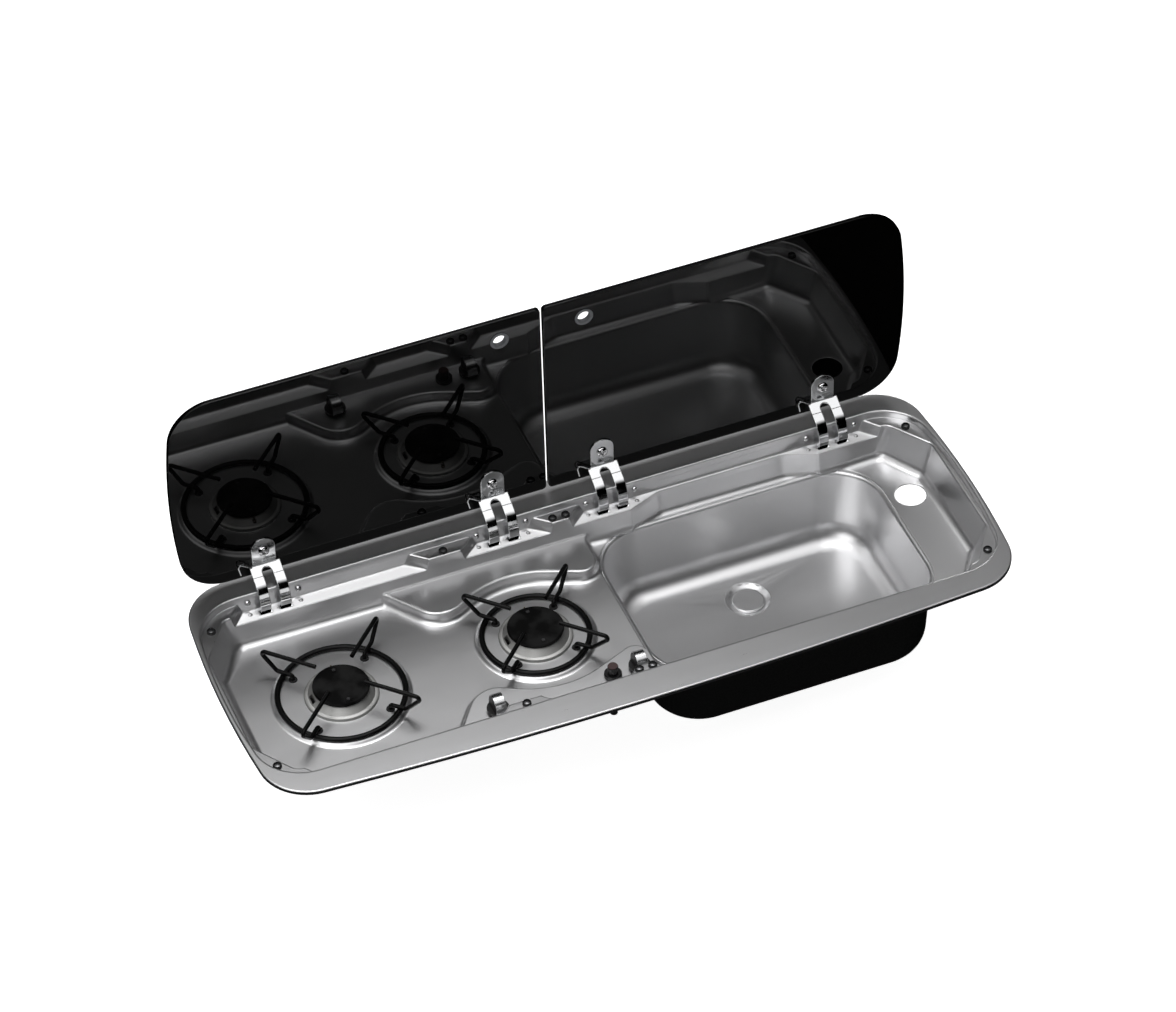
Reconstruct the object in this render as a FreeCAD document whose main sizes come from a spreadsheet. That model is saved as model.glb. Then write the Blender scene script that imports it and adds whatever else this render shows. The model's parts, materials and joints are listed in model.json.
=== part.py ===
"""Built-in two-burner gas hob with a sink beside it, under two glass lids, shown open.

Millimetres. X runs along the unit to the sink end, Y from front to back, Z up.
The origin is the middle of the flange, on the worktop that the flange seal lies on.
"""
import FreeCAD
import Part
import Sketcher
import math
import os

Vector = FreeCAD.Vector
doc = FreeCAD.newDocument("hob_sink")
sheet = doc.addObject("Spreadsheet::Sheet", "sizes")

# Driving dimensions: name, millimetres or degrees, what it is
SIZES = [
    ("flange_end", 5.3, "width of the flange beside the recess mouth, at its ends"),
    ("flange_side", 42.6, "width of the flange before and behind the recess mouth"),
    ("flange_bow", 15.5, "bow of the long flange edges"),
    ("flange_end_bow", 13.7, "bow of the short flange edges"),
    ("flange_corner", 58, "corner radius of the flange"),
    ("rim_height", 5, "flange top above the worktop"),
    ("lip_drop", 1.6, "height of the turned-down flange edge"),
    ("sheet_steel", 1, "thickness of the pressed sheet"),
    ("seal_width", 3.6, "width of the rubber strip below the flange edge"),
    ("mouth_length", 889.4, "length of the recess mouth in the flange"),
    ("mouth_width", 279.8, "front-to-back size of the recess mouth"),
    ("mouth_end_bow", 12.7, "bow of the short edges of the mouth"),
    ("mouth_corner", 56, "corner radius of the mouth"),
    ("mouth_round", 1.8, "rounding where the flange turns down into the recess"),
    ("shelf_depth", 9.5, "bumper shelves below the flange top"),
    ("ledge_depth", 23, "hinge ledges below the flange top"),
    ("platform_depth", 38.5, "control platforms below the flange top"),
    ("floor_depth", 52, "recess floor below the flange top"),
    ("shoulder_width", 17.4, "front-to-back width of the shelves and ledges"),
    ("wall_lean", 4.5, "lean of the long recess walls over their height"),
    ("end_lean", 11.4, "lean of the short recess walls over their height"),
    ("end_wall_gap", 6.3, "top of the end walls from the ends of the mouth"),
    ("chamfer_long", 34, "recess corner chamfer, along the length"),
    ("chamfer_wide", 50, "recess corner chamfer, across the width"),
    ("recess_corner", 14, "rounding of the upright recess corners"),
    ("floor_fillet", 8, "fillet at the foot of the recess walls"),
    ("press_round", 1.6, "rounding of pressed edges"),
    ("pocket_single_x", -140.5, "middle of the shelf with one bumper"),
    ("pocket_single_front", 35, "front length of the shelf with one bumper"),
    ("pocket_pair_front", 16, "front length of the shelf with two bumpers"),
    ("pocket_splay", 20, "how much longer a shelf is behind, on each side"),
    ("pocket_lean", 4, "lean of the shelf sides over their height"),
    ("gully_left", 83, "left end of the widened sink wall, at its front"),
    ("gully_right", 320, "right end of the widened sink wall, at its front"),
    ("gully_splay", 41, "length of the slanted ends of the widened wall"),
    ("gully_lean", 10, "lean of the widened wall over its height"),
    ("hump_y", 64, "control humps of the platforms from the centre line"),
    ("valley_y", 89, "valley of the platforms from the centre line"),
    ("hump_left_x", -160.6, "left hump from the middle"),
    ("hump_right_x", 6.5, "right hump from the middle"),
    ("hump_left_r", 34, "radius of the left hump"),
    ("hump_right_r", 18, "radius of the right hump"),
    ("platform_foot", 5.5, "fillet at the foot of the platforms"),
    ("platform_lip", 2.5, "rounding at the platform edge"),
    ("burner_left_x", -310.9, "left burner from the middle"),
    ("burner_right_x", -80.3, "right burner from the middle"),
    ("plateau_left_r", 76, "radius of the raised disc below the left burner, at half height"),
    ("plateau_right_r", 66.5, "radius of the raised disc below the right burner, at half height"),
    ("plateau_rise", 3.5, "height of the raised burner discs"),
    ("bowl_left", 31, "left edge of the bowl from the middle"),
    ("bowl_length", 338, "length of the bowl mouth"),
    ("bowl_width", 235, "front-to-back size of the bowl mouth"),
    ("bowl_corner", 58, "upright corner radius of the bowl"),
    ("bowl_depth", 149, "bowl bottom below the flange top"),
    ("bowl_lean", 4, "lean of the bowl walls over their height"),
    ("bowl_fillet", 24, "fillet round the bowl bottom"),
    ("bowl_round", 4, "rounding at the bowl mouth"),
    ("coat", 1.5, "thickness of the black sound-deadening coat"),
    ("coat_start", 6, "top of the coat below the recess floor"),
    ("tap_hole_x", 400, "tap hole from the middle"),
    ("tap_hole_y", 45.3, "tap hole behind the middle"),
    ("tap_hole_r", 18.2, "radius of the tap hole"),
    ("drain_y", 52, "drain behind the middle"),
    ("drain_r", 26, "radius of the drain recess at the bowl bottom"),
    ("drain_seat_r", 19.6, "radius of the drain seat"),
    ("drain_sink", 4, "depth of the drain recess"),
    ("drain_bore", 15.5, "radius of the drain outlet"),
    ("spigot_r", 12.5, "outside radius of the waste spigot"),
    ("spigot_length", 28, "length of the waste spigot"),
    ("plug_gap", 0.5, "clearance round the drain plug"),
    ("glass", 5, "thickness of the glass lids"),
    ("lid_end_gap", 4.2, "outer end of a closed lid from the end of the mouth"),
    ("lid_gap", 3, "gap between the two lids"),
    ("lid_front", 137.6, "front edge of a closed lid before the middle"),
    ("lid_rear", 134.6, "rear edge of a closed lid behind the middle"),
    ("lid_corner", 52, "outer corner radius of a lid"),
    ("lid_inner_corner", 5, "inner corner radius of a lid"),
    ("lid_seat", 6, "closed glass underside below the flange top"),
    ("finger_x", 50, "finger hole from the middle"),
    ("finger_edge", 29.5, "finger hole from the front edge of the lid"),
    ("finger_r", 7.5, "radius of the finger hole"),
    ("grommet_wall", 1.5, "wall of the finger-hole grommet"),
    ("grommet_lip", 2, "lip of the grommet over the glass"),
    ("axis_y", 155, "hinge axis behind the middle"),
    ("axis_depth", 13.9, "hinge axis below the flange top"),
    ("hinge_outer_inset", 104.7, "outer hinges from the ends of the mouth"),
    ("hinge_inner_x", 66.7, "inner hinges from the middle"),
    ("hinge_sheet", 1.6, "thickness of the hinge leaf"),
    ("neck_radius", 26, "radius of the curved hinge straps"),
    ("strap_width", 12, "width of one hinge strap"),
    ("strap_gap", 12, "gap between the two straps"),
    ("tab_width", 28, "width of the hinge tab on the glass"),
    ("tab_top", 51, "tab top above the glass edge"),
    ("tab_foot", 12.5, "tab foot above the glass edge"),
    ("tab_screw", 33, "tab screw above the glass edge"),
    ("pin_r", 2.5, "radius of the hinge pins"),
    ("running", 0.05, "radial clearance of turning and sliding fits"),
    ("wall_screw_x", 30, "wall screws from the middle of a hinge"),
    ("bumper_r", 5, "radius of a rubber bumper"),
    ("bumper_rim", 1.7, "width of the raised rim of a bumper"),
    ("bumper_gap", 0.2, "closed glass above the bumpers"),
    ("bumper_end_inset", 22.3, "corner bumpers from the ends of the mouth"),
    ("bumper_end_y", 110.3, "corner bumpers from the centre line"),
    ("bumper_pair", 15.8, "distance between paired bumpers"),
    ("bumper_y", 129, "other bumpers from the centre line"),
    ("cup_r", 42, "radius of the burner cup ring"),
    ("cup_step", 4.5, "flat edge of the burner cup ring outside its cone"),
    ("cup_rise", 4, "height of the burner cup ring"),
    ("cup_tube_r", 26, "radius of the burner cup below the plateau"),
    ("cup_depth", 20, "depth of the burner cup below the plateau"),
    ("head_r", 28, "radius of the flame ring"),
    ("cap_r", 32, "radius of the burner cap"),
    ("cap_slit", 1.6, "slit between the burner cone and the cap"),
    ("cap_depth", 32.6, "cap top below the flange top"),
    ("cap_thick", 4, "thickness of the burner cap"),
    ("cap_screw_y", 24, "cap screws from the burner axis"),
    ("sensor_r", 34, "electrode and flame sensor from the burner axis"),
    ("wire_r", 2.5, "radius of the pan support wire"),
    ("ring_left_r", 71, "radius of the left pan support ring"),
    ("ring_right_r", 60.5, "radius of the right pan support ring"),
    ("arm_depth", 16.5, "upper arm wires below the flange top"),
    ("arm_inner_r", 30, "inner arm ends from the burner axis"),
    ("arm_reach_left", 24, "left arm tips outside the ring"),
    ("arm_reach_right", 27.5, "right arm tips outside the ring"),
    ("foot_inset", 11.5, "support feet inside the ring"),
    ("bush_r", 5, "radius of the foot bushes"),
    ("knob_left_x", -164, "left knob from the middle"),
    ("knob_right_x", 4, "right knob from the middle"),
    ("knob_y", 100.3, "knobs and igniter before the middle"),
    ("knob_r", 12.5, "radius of the knobs"),
    ("knob_fin", 12.4, "thickness of the knob grip"),
    ("knob_base", 7, "height of the knob below its rounded grip"),
    ("knob_gap", 3, "knob above the platform"),
    ("stem_r", 3, "radius of the tap stems"),
    ("plug_r", 6, "radius of the tap plugs"),
    ("tap_r", 11, "radius of the tap bodies"),
    ("tap_height", 31.5, "height of the tap bodies below the platform"),
    ("igniter_x", -28, "igniter from the middle"),
    ("igniter_r", 8, "radius of the igniter body"),
    ("igniter_length", 57.5, "igniter below the platform"),
    ("igniter_rise", 16, "igniter button above the platform"),
    ("bezel_r", 10, "radius of the igniter bezel"),
    ("button_r", 6, "radius of the igniter button"),
    ("rail_side", 12, "side of the square gas rail"),
    ("rail_drop", 17.5, "gas rail below the platform"),
    ("inlet_r", 4, "outside radius of the gas inlet tube"),
    ("inlet_length", 180, "length of the gas inlet tube"),
    ("pipe_r", 3, "outside radius of the burner feed pipes"),
    ("pipe_drop", 9, "feed pipes below the taps"),
    ("injector_r", 8, "radius of the injector holders"),
    ("clamp_foot", 15, "reach of the fixing brackets"),
]


class Size(float):
    """A number that remembers the sheet cells it was worked out from."""

    def __new__(cls, value, text):
        size = super().__new__(cls, value)
        size.text = text
        return size

    def __add__(self, other):
        return Size(float(self) + float(other), f"({self.text} + {words(other)})")

    def __radd__(self, other):
        return Size(float(other) + float(self), f"({words(other)} + {self.text})")

    def __sub__(self, other):
        return Size(float(self) - float(other), f"({self.text} - {words(other)})")

    def __rsub__(self, other):
        return Size(float(other) - float(self), f"({words(other)} - {self.text})")

    def __mul__(self, other):
        return Size(float(self) * float(other), f"({self.text} * {words(other)})")

    __rmul__ = __mul__

    def __truediv__(self, other):
        return Size(float(self) / float(other), f"({self.text} / {words(other)})")

    def __neg__(self):
        return Size(-float(self), f"(-1 * {self.text})")


def words(number):
    """The expression text of a number or a size."""
    return number.text if isinstance(number, Size) else repr(float(number))


class Sizes:
    """The driving dimensions, by name."""


S = Sizes()
for row, (alias, value, note) in enumerate(SIZES, 1):
    sheet.set(f"A{row}", note)
    sheet.set(f"B{row}", str(value))
    sheet.setAlias(f"B{row}", alias)
doc.recompute()
for alias, _, _ in SIZES:
    setattr(S, alias, Size(sheet.get(alias), f"sizes.{alias}"))

T = S.sheet_steel
z_shelf = S.rim_height - S.shelf_depth
z_ledge = S.rim_height - S.ledge_depth
z_platform = S.rim_height - S.platform_depth
z_floor = S.rim_height - S.floor_depth
z_plateau = z_floor + S.plateau_rise
z_bowl = S.rim_height - S.bowl_depth
z_axis = S.rim_height - S.axis_depth
mouth_y = S.mouth_width / 2
mouth_x = S.mouth_length / 2
end_wall_top = mouth_x - S.end_wall_gap
lid_end = mouth_x - S.lid_end_gap
bumper_end = mouth_x - S.bumper_end_inset
wall_y = mouth_y - S.shoulder_width
hinge_outer = mouth_x - S.hinge_outer_inset
HINGES = [-hinge_outer, -S.hinge_inner_x, S.hinge_inner_x, hinge_outer]
nodes = {}


def node(name, thing):
    """Names a finished sub-part."""
    thing.Label = name
    nodes[name] = thing
    return thing


def feature(name, shape):
    """A document object that holds a worked-out shape."""
    thing = doc.addObject("Part::Feature", name)
    thing.Shape = shape
    return thing


def bind(thing, **sizes):
    """Ties properties of an object to the sheet."""
    for prop, size in sizes.items():
        thing.setExpression(prop.replace("__", "."), words(size))


def put(thing, x=0, y=0, z=0, turn=None):
    """Places an object, with an optional (axis, degrees) turn."""
    if turn:
        thing.Placement = FreeCAD.Placement(Vector(), FreeCAD.Rotation(Vector(*turn[0]), turn[1]))
    bind(thing, Placement__Base__x=x, Placement__Base__y=y, Placement__Base__z=z)
    return thing


# Part primitives and joins
ALONG_X = ((0, 1, 0), 90)


def cylinder(name, radius, height, at, turn=None):
    thing = doc.addObject("Part::Cylinder", name)
    bind(thing, Radius=radius, Height=height)
    return put(thing, *at, turn=turn)


def box(name, low, high):
    thing = doc.addObject("Part::Box", name)
    bind(thing, Length=high[0] - low[0], Width=high[1] - low[1], Height=high[2] - low[2])
    return put(thing, *low)


def fuse(name, things):
    joined = doc.addObject("Part::MultiFuse", name)
    joined.Shapes = things
    return joined


def cut(name, base, tools):
    tool = tools[0] if len(tools) == 1 else fuse(name + "_tools", tools)
    result = doc.addObject("Part::Cut", name)
    result.Base = base
    result.Tool = tool
    return result


def turned(name, profile, at, turn=None):
    """A body turned from a profile of (radius, height) corners about its own upright axis."""
    body = doc.addObject("PartDesign::Body", name)
    sketch = body.newObject("Sketcher::SketchObject", name + "_profile")
    plane = [part for part in body.Origin.OriginFeatures if part.Role == "XZ_Plane"][0]
    sketch.AttachmentSupport = (plane, [""])
    sketch.MapMode = "FlatFace"
    corners = [Vector(float(x), float(y), 0) for x, y in profile]
    count = len(corners)
    for k in range(count):
        sketch.addGeometry(Part.LineSegment(corners[k], corners[(k + 1) % count]))
    for k in range(count):
        sketch.addConstraint(Sketcher.Constraint("Coincident", k, 2, (k + 1) % count, 1))
    for k, corner in enumerate(profile):
        for kind, axis, size in (("DistanceX", -2, corner[0]), ("DistanceY", -1, corner[1])):
            if float(size) == 0 and not isinstance(size, Size):
                sketch.addConstraint(Sketcher.Constraint("PointOnObject", k, 1, axis))
                continue
            index = sketch.addConstraint(Sketcher.Constraint(kind, -1, 1, k, 1, float(size)))
            if isinstance(size, Size):
                sketch.setExpression(f"Constraints[{index}]", size.text)
    spin = body.newObject("PartDesign::Revolution", name + "_turn")
    spin.Profile = sketch
    spin.ReferenceAxis = (sketch, ["V_Axis"])
    spin.Angle = 360
    body.Tip = spin
    return put(body, *at, turn=turn)


# Outlines: corner arcs joined by straight or bowed sides
def polygon_corners(points, radii):
    """Corner arcs (centre, radius, turn, first angle, last angle) of an anticlockwise polygon."""
    corners = []
    count = len(points)
    for k in range(count):
        (ax, ay), (bx, by), (cx, cy) = points[k - 1], points[k], points[(k + 1) % count]
        first = math.atan2(by - ay, bx - ax)
        sweep = math.remainder(math.atan2(cy - by, cx - bx) - first, 2 * math.pi)
        turn = math.copysign(1, sweep)
        radius = float(radii[k])
        run = radius * math.tan(abs(sweep) / 2)
        centre = (bx - run * math.cos(first) - turn * radius * math.sin(first),
                  by - run * math.sin(first) + turn * radius * math.cos(first))
        start = first - turn * math.pi / 2
        corners.append((centre, radius, turn, start, start + sweep))
    return corners, [None] * count


def bowed_corners(left, right, front, rear, bows, radii):
    """The same for a rectangle whose front, right, rear and left sides may bow outwards."""
    x0, x1, y0, y1 = float(left), float(right), float(front), float(rear)
    middle = ((x0 + x1) / 2, (y0 + y1) / 2)
    half = ((x1 - x0) / 2, (y1 - y0) / 2)
    sides = []
    for (nx, ny), bow, chord in (((0, -1), float(bows[0]), half[0]), ((1, 0), float(bows[1]), half[1]),
                                 ((0, 1), float(bows[2]), half[0]), ((-1, 0), float(bows[3]), half[1])):
        tip = (middle[0] + nx * half[0], middle[1] + ny * half[1])
        radius = (chord ** 2 + bow ** 2) / (2 * bow) if bow else 0
        sides.append(((nx, ny), tip, radius))

    def reach(side, spot, inset):
        """How far a spot lies outside a side that is moved in, and the way out."""
        (nx, ny), tip, radius = side
        if not radius:
            return (spot[0] - tip[0]) * nx + (spot[1] - tip[1]) * ny + inset, (nx, ny)
        dx = spot[0] - tip[0] + radius * nx
        dy = spot[1] - tip[1] + radius * ny
        far = math.hypot(dx, dy)
        return far - radius + inset, (dx / far, dy / far)

    corners = []
    for k in range(4):
        first, second = sides[k], sides[(k + 1) % 4]
        inset = float(radii[k])
        spot = (second[1][0] + first[1][0] - middle[0], second[1][1] + first[1][1] - middle[1])
        for _ in range(20):
            far_a, way_a = reach(first, spot, inset)
            far_b, way_b = reach(second, spot, inset)
            det = way_a[0] * way_b[1] - way_a[1] * way_b[0]
            spot = (spot[0] - (far_a * way_b[1] - far_b * way_a[1]) / det,
                    spot[1] - (way_a[0] * far_b - way_b[0] * far_a) / det)
        start = math.atan2(way_a[1], way_a[0])
        sweep = math.remainder(math.atan2(way_b[1], way_b[0]) - start, 2 * math.pi)
        corners.append((spot, inset, 1, start, start + sweep))
    bowed = []
    for (nx, ny), tip, radius in sides[1:] + sides[:1]:
        bowed.append(((tip[0] - radius * nx, tip[1] - radius * ny), radius) if radius else None)
    return corners, bowed


def ring_point(centre, radius, angle, z):
    return Vector(centre[0] + radius * math.cos(angle), centre[1] + radius * math.sin(angle), float(z))


def outline(shape, grow, z):
    """A closed wire of an outline grown outwards, at a level."""
    corners, sides = shape
    grow = float(grow)
    edges = []
    for k, (centre, radius, turn, start, end) in enumerate(corners):
        r = radius + turn * grow
        last = ring_point(centre, r, end, z)
        middle = ring_point(centre, r, (start + end) / 2, z)
        edges.append(Part.Arc(ring_point(centre, r, start, z), middle, last).toShape())
        next_centre, next_radius, next_turn, next_start, _ = corners[(k + 1) % len(corners)]
        first = ring_point(next_centre, next_radius + next_turn * grow, next_start, z)
        if sides[k] is None:
            edges.append(Part.LineSegment(last, first).toShape())
            continue
        (cx, cy), big = sides[k]
        hub = Vector(cx, cy, float(z))
        way = ((last + first) / 2 - hub).normalize()
        edges.append(Part.Arc(last, hub + way * (big + grow), first).toShape())
    return Part.Wire(edges)


def prism(shape, grow, low, high):
    """An upright solid of an outline."""
    return Part.Face(outline(shape, grow, low)).extrude(Vector(0, 0, float(high - low)))


STEPS = [math.radians(angle) for angle in (0, 22.5, 45, 67.5, 90)]
FINE_STEPS = [math.radians(10 * k) for k in range(10)]


def hollow_profile(low, high, foot, lip, steps=STEPS):
    """(level, growth) up a pressed wall: fillet at its foot, rounding at its lip."""
    low, high, foot, lip = float(low), float(high), float(foot), float(lip)
    rise = [(low + foot * (1 - math.cos(a)), foot * (math.sin(a) - 1)) for a in steps]
    return rise + [(high - lip * (1 - math.sin(a)), lip * (1 - math.cos(a))) for a in STEPS]


def raised_profile(low, high, foot, lip, lean):
    """The same for a raised form: it is widest at its foot."""
    low, high, foot, lip = float(low), float(high), float(foot), float(lip)
    rise = [(low + foot * (1 - math.cos(a)), foot * (1 - math.sin(a))) for a in STEPS]
    rise += [(high - lip * (1 - math.sin(a)), lip * (math.cos(a) - 1)) for a in STEPS]
    return [(z, grow + lean * (high - z) / (high - low)) for z, grow in rise]


def between(low_points, high_points, share):
    return [(float(a[0] + (b[0] - a[0]) * share), float(a[1] + (b[1] - a[1]) * share))
            for a, b in zip(low_points, high_points)]


def pressed(low_points, high_points, radii, profile, thick=0, below=0, above=0):
    """A solid between two polygons along a profile; thick gives the other face of the sheet."""
    low, high = profile[0][0], profile[-1][0]
    levels = [(z, grow, (z - low) / (high - low)) for z, grow in profile]
    if below:
        levels = [(low - below, profile[0][1], 0)] + levels
    if above:
        levels = levels + [(high + above, profile[-1][1], 1)]
    wires = []
    for z, grow, share in levels:
        shape = polygon_corners(between(low_points, high_points, share), radii)
        wires.append(outline(shape, grow + thick, z - abs(thick)))
    return Part.makeLoft(wires, True, True)


def disc(x, y, radius, low, high):
    return Part.makeCylinder(float(radius), float(high - low), Vector(x, y, low))


def block(low, high):
    size = [float(b - a) for a, b in zip(low, high)]
    return Part.makeBox(*size, Vector(*low))


def mirrored(shape):
    """The front copy of a rear form."""
    return shape.mirror(Vector(), Vector(0, 1, 0))


def spun(points, x, y):
    """A solid turned from (radius, level) points about an upright axis."""
    ring = [Vector(r, 0, z) for r, z in points]
    solid = Part.Face(Part.makePolygon(ring + ring[:1])).revolve(Vector(), Vector(0, 0, 1), 360)
    solid.translate(Vector(x, y, 0))
    return solid


# The pressed deck, its recess and its raised forms
half_flange = (mouth_x + S.flange_end, mouth_y + S.flange_side)
flange_shape = bowed_corners(-half_flange[0], half_flange[0], -half_flange[1], half_flange[1],
                             (S.flange_bow, S.flange_end_bow, S.flange_bow, S.flange_end_bow),
                             [S.flange_corner] * 4)
mouth_shape = bowed_corners(-mouth_x, mouth_x, -mouth_y, mouth_y,
                            (0, S.mouth_end_bow, 0, S.mouth_end_bow), [S.mouth_corner] * 4)
foot_y = wall_y - S.wall_lean
shelf_y = wall_y - S.chamfer_wide
inside_y = foot_y - S.floor_fillet * 2


def flange_plate():
    """The flange sheet with its turned-down edge."""
    top = S.rim_height
    edge = [(top - S.lip_drop, 0)]
    bend = S.lip_drop * 0.8
    edge += [(top - bend * (1 - math.sin(a)), bend * (math.cos(a) - 1)) for a in STEPS]
    skin = Part.makeLoft([outline(flange_shape, grow, z) for z, grow in edge], True, True)
    return skin.cut(prism(flange_shape, -T, 0, top - T))


def mouth_volume(thick):
    """The recess mouth from the ledges up through the flange."""
    profile = hollow_profile(z_ledge, S.rim_height, S.press_round, S.mouth_round)
    profile.append((S.rim_height + T, S.mouth_round))
    return Part.makeLoft([outline(mouth_shape, grow + thick, z - thick) for z, grow in profile], True, True)


def octagon(end, side):
    """The recess in plan: a long rectangle with chamfered corners."""
    long, wide = end - S.chamfer_long, side - S.chamfer_wide
    return [(long, -side), (end, -wide), (end, wide), (long, side),
            (-long, side), (-end, wide), (-end, -wide), (-long, -side)]


def recess_volume(thick):
    """The recess between the floor and the bumper shelves."""
    profile = hollow_profile(z_floor, z_shelf, S.floor_fillet, S.press_round)
    low = octagon(end_wall_top - S.end_lean, foot_y)
    return pressed(low, octagon(end_wall_top, wall_y), [S.recess_corner] * 8, profile, thick, above=T)


def gully_volume(thick):
    """The widened wall behind the bowl, without ledge or shelf."""
    near, far = S.gully_left + S.gully_splay, S.gully_right - S.gully_splay
    back = mouth_y - S.gully_lean
    low = [(S.gully_left, inside_y), (S.gully_right, inside_y), (S.gully_right, foot_y),
           (far, back), (near, back), (S.gully_left, foot_y)]
    high = [(S.gully_left, inside_y), (S.gully_right, inside_y), (S.gully_right, wall_y),
            (far, mouth_y), (near, mouth_y), (S.gully_left, wall_y)]
    profile = hollow_profile(z_floor, z_shelf, S.floor_fillet / 2, S.press_round / 16)
    soft = S.gully_splay / 2
    radii = [S.floor_fillet, S.floor_fillet, S.floor_fillet, soft, soft, S.floor_fillet]
    return pressed(low, high, radii, profile, thick, above=T)


def shelf_block(points, thick):
    """A raised block under a bumper shelf; its convex corners are tight and its hollow corners are wide."""
    plain = [(float(x), float(y)) for x, y in points]
    turns = [corner[2] for corner in polygon_corners(plain, [0] * len(plain))[0]]
    radii = [S.press_round * 3 if turn > 0 else S.recess_corner for turn in turns]
    profile = raised_profile(z_ledge, z_shelf, S.press_round, S.press_round, S.pocket_lean)
    return pressed(plain, plain, radii, profile, -thick, below=S.shoulder_width)


def pocket(x, front, thick):
    """The block of a bumper shelf on the long side: it is longer behind."""
    half = front / 2
    back = mouth_y + S.shoulder_width
    far = half + S.pocket_splay * 2
    return shelf_block([(x - half, inside_y), (x + half, inside_y), (x + half, wall_y),
                        (x + far, back), (x - far, back), (x - half, wall_y)], thick)


def end_block(side, thick):
    """The block of the corner shelves at one end."""
    end = end_wall_top
    out = end + S.end_lean * 2
    long, wide = end - S.chamfer_long * 2.1, shelf_y + S.chamfer_wide * 1.7
    points = [(long, wide), (end, shelf_y), (end, -shelf_y), (long, -wide), (out, -wide), (out, wide)]
    if side < 0:
        points = [(-x, y) for x, y in reversed(points)]
    return shelf_block(points, thick)


def platform(thick):
    """The rear control platform: a wavy step with a hump behind each knob and a valley at the burner."""
    steep, rise, fall = math.radians(54), math.radians(30), math.radians(22.8)
    edge = float(wall_y)
    back = float(mouth_y)

    def hump(x, radius, down, up):
        """The corner that a hump of this radius rounds off."""
        half = (down + up) / 2
        lean = (math.pi - down + up) / 2
        far = radius / math.cos(half)
        return (float(x - far * math.cos(lean)), float(S.hump_y + radius - far * math.sin(lean)))

    left = hump(S.hump_left_x, S.hump_left_r, steep, rise)
    right = hump(S.hump_right_x, S.hump_right_r, fall, math.pi / 2)
    start = (left[0] - (edge - left[1]) / math.tan(steep), edge)
    run = (right[1] - left[1] + math.tan(fall) * (right[0] - left[0])) / (math.tan(rise) + math.tan(fall))
    valley = (left[0] + run, left[1] + run * math.tan(rise))
    cup = (valley[1] - S.valley_y) / (math.cos((rise - fall) / 2) / math.cos((rise + fall) / 2) - 1)
    wide = float(S.recess_corner * 1.3)
    points = [(start[0] - wide * 2, edge), start, left, valley, right, (right[0], edge),
              (right[0] + wide * 1.2, edge), (right[0] + wide * 1.2, back), (start[0] - wide * 2, back)]
    small = S.press_round * 3
    radii = [small, wide, S.hump_left_r, cup, S.hump_right_r, wide * 0.9, small, small, small]
    lean = S.wall_lean / 3
    profile = raised_profile(z_floor, z_platform, S.platform_foot, S.platform_lip, lean)
    return pressed(points, points, radii, profile, -thick, below=S.floor_fillet)


def plateau(x, radius, thick):
    """The raised disc below a burner."""
    profile = raised_profile(z_floor, z_plateau, S.plateau_rise / 2, S.plateau_rise / 2, S.plateau_rise)
    middle = S.plateau_rise / 2
    points = [(radius - middle + grow - thick, z - thick) for z, grow in profile]
    low = z_floor - thick - S.floor_fillet
    return spun([(0, low), (points[0][0], low)] + points + [(0, points[-1][1])], x, 0)


def raised_forms(thick):
    """Everything that stands up inside the recess."""
    rear = platform(thick)
    return [rear, mirrored(rear), plateau(S.burner_left_x, S.plateau_left_r, thick),
            plateau(S.burner_right_x, S.plateau_right_r, thick)]


def shelf_blocks(thick):
    rear = [pocket(S.pocket_single_x, S.pocket_single_front, thick), pocket(0, S.pocket_pair_front, thick)]
    return rear + [mirrored(form) for form in rear] + [end_block(1, thick), end_block(-1, thick)]


def pressing(thick):
    """The space that one face of the sheet encloses."""
    gully = gully_volume(thick)
    space = mouth_volume(thick).cut(shelf_blocks(thick))
    space = space.fuse([recess_volume(thick), gully, mirrored(gully)])
    return space.cut(raised_forms(thick))


# Places on the deck that several pieces share
BURNERS = {"left": (S.burner_left_x, S.ring_left_r, S.arm_reach_left),
           "right": (S.burner_right_x, S.ring_right_r, S.arm_reach_right)}
KNOBS = {"left": S.knob_left_x, "right": S.knob_right_x}
LIDS = {"left": -1, "right": 1}
z_closed = S.rim_height - S.lid_seat
z_edge = z_axis + S.axis_y - S.lid_rear
glass_y = S.axis_y + z_closed - z_axis
outer_wall_y = mouth_y + T
z_under = z_platform - T
z_wall_screw = z_shelf - S.press_round
knob_line = -S.knob_y
drain_x = S.bowl_left + S.bowl_length / 2
strap_outer = S.strap_gap / 2 + S.strap_width
corner_bumpers = [(sx * bumper_end, sy * S.bumper_end_y) for sx in (-1, 1) for sy in (-1, 1)]
pair = S.bumper_pair / 2
side_bumpers = [(x, sy * S.bumper_y) for x in (S.pocket_single_x, -pair, pair) for sy in (-1, 1)]
BUMPERS = corner_bumpers + side_bumpers
BUMPER_STEM = S.bumper_r * 0.4
SENSOR_R = 1.6
SLOT_LENGTH, SLOT_HALF = 13, 2
SCREW_R = 1.5
RIGHT, BACK, UP = Vector(1, 0, 0), Vector(0, 1, 0), Vector(0, 0, 1)
TAB_SCREW_R = 2.9


def feet(name):
    """Where the four feet of a pan support stand."""
    x, ring, _ = BURNERS[name]
    far = (ring - S.foot_inset) * math.sqrt(0.5)
    return [(x + sx * far, sy * far) for sx in (-1, 1) for sy in (-1, 1)]


FEET = feet("left") + feet("right")
bowl_x = (S.bowl_left, S.bowl_left + S.bowl_length)
bowl_y = S.bowl_width / 2


def bowl_plan(inset):
    return [(bowl_x[0] + inset, -bowl_y + inset), (bowl_x[1] - inset, -bowl_y + inset),
            (bowl_x[1] - inset, bowl_y - inset), (bowl_x[0] + inset, bowl_y - inset)]


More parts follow.
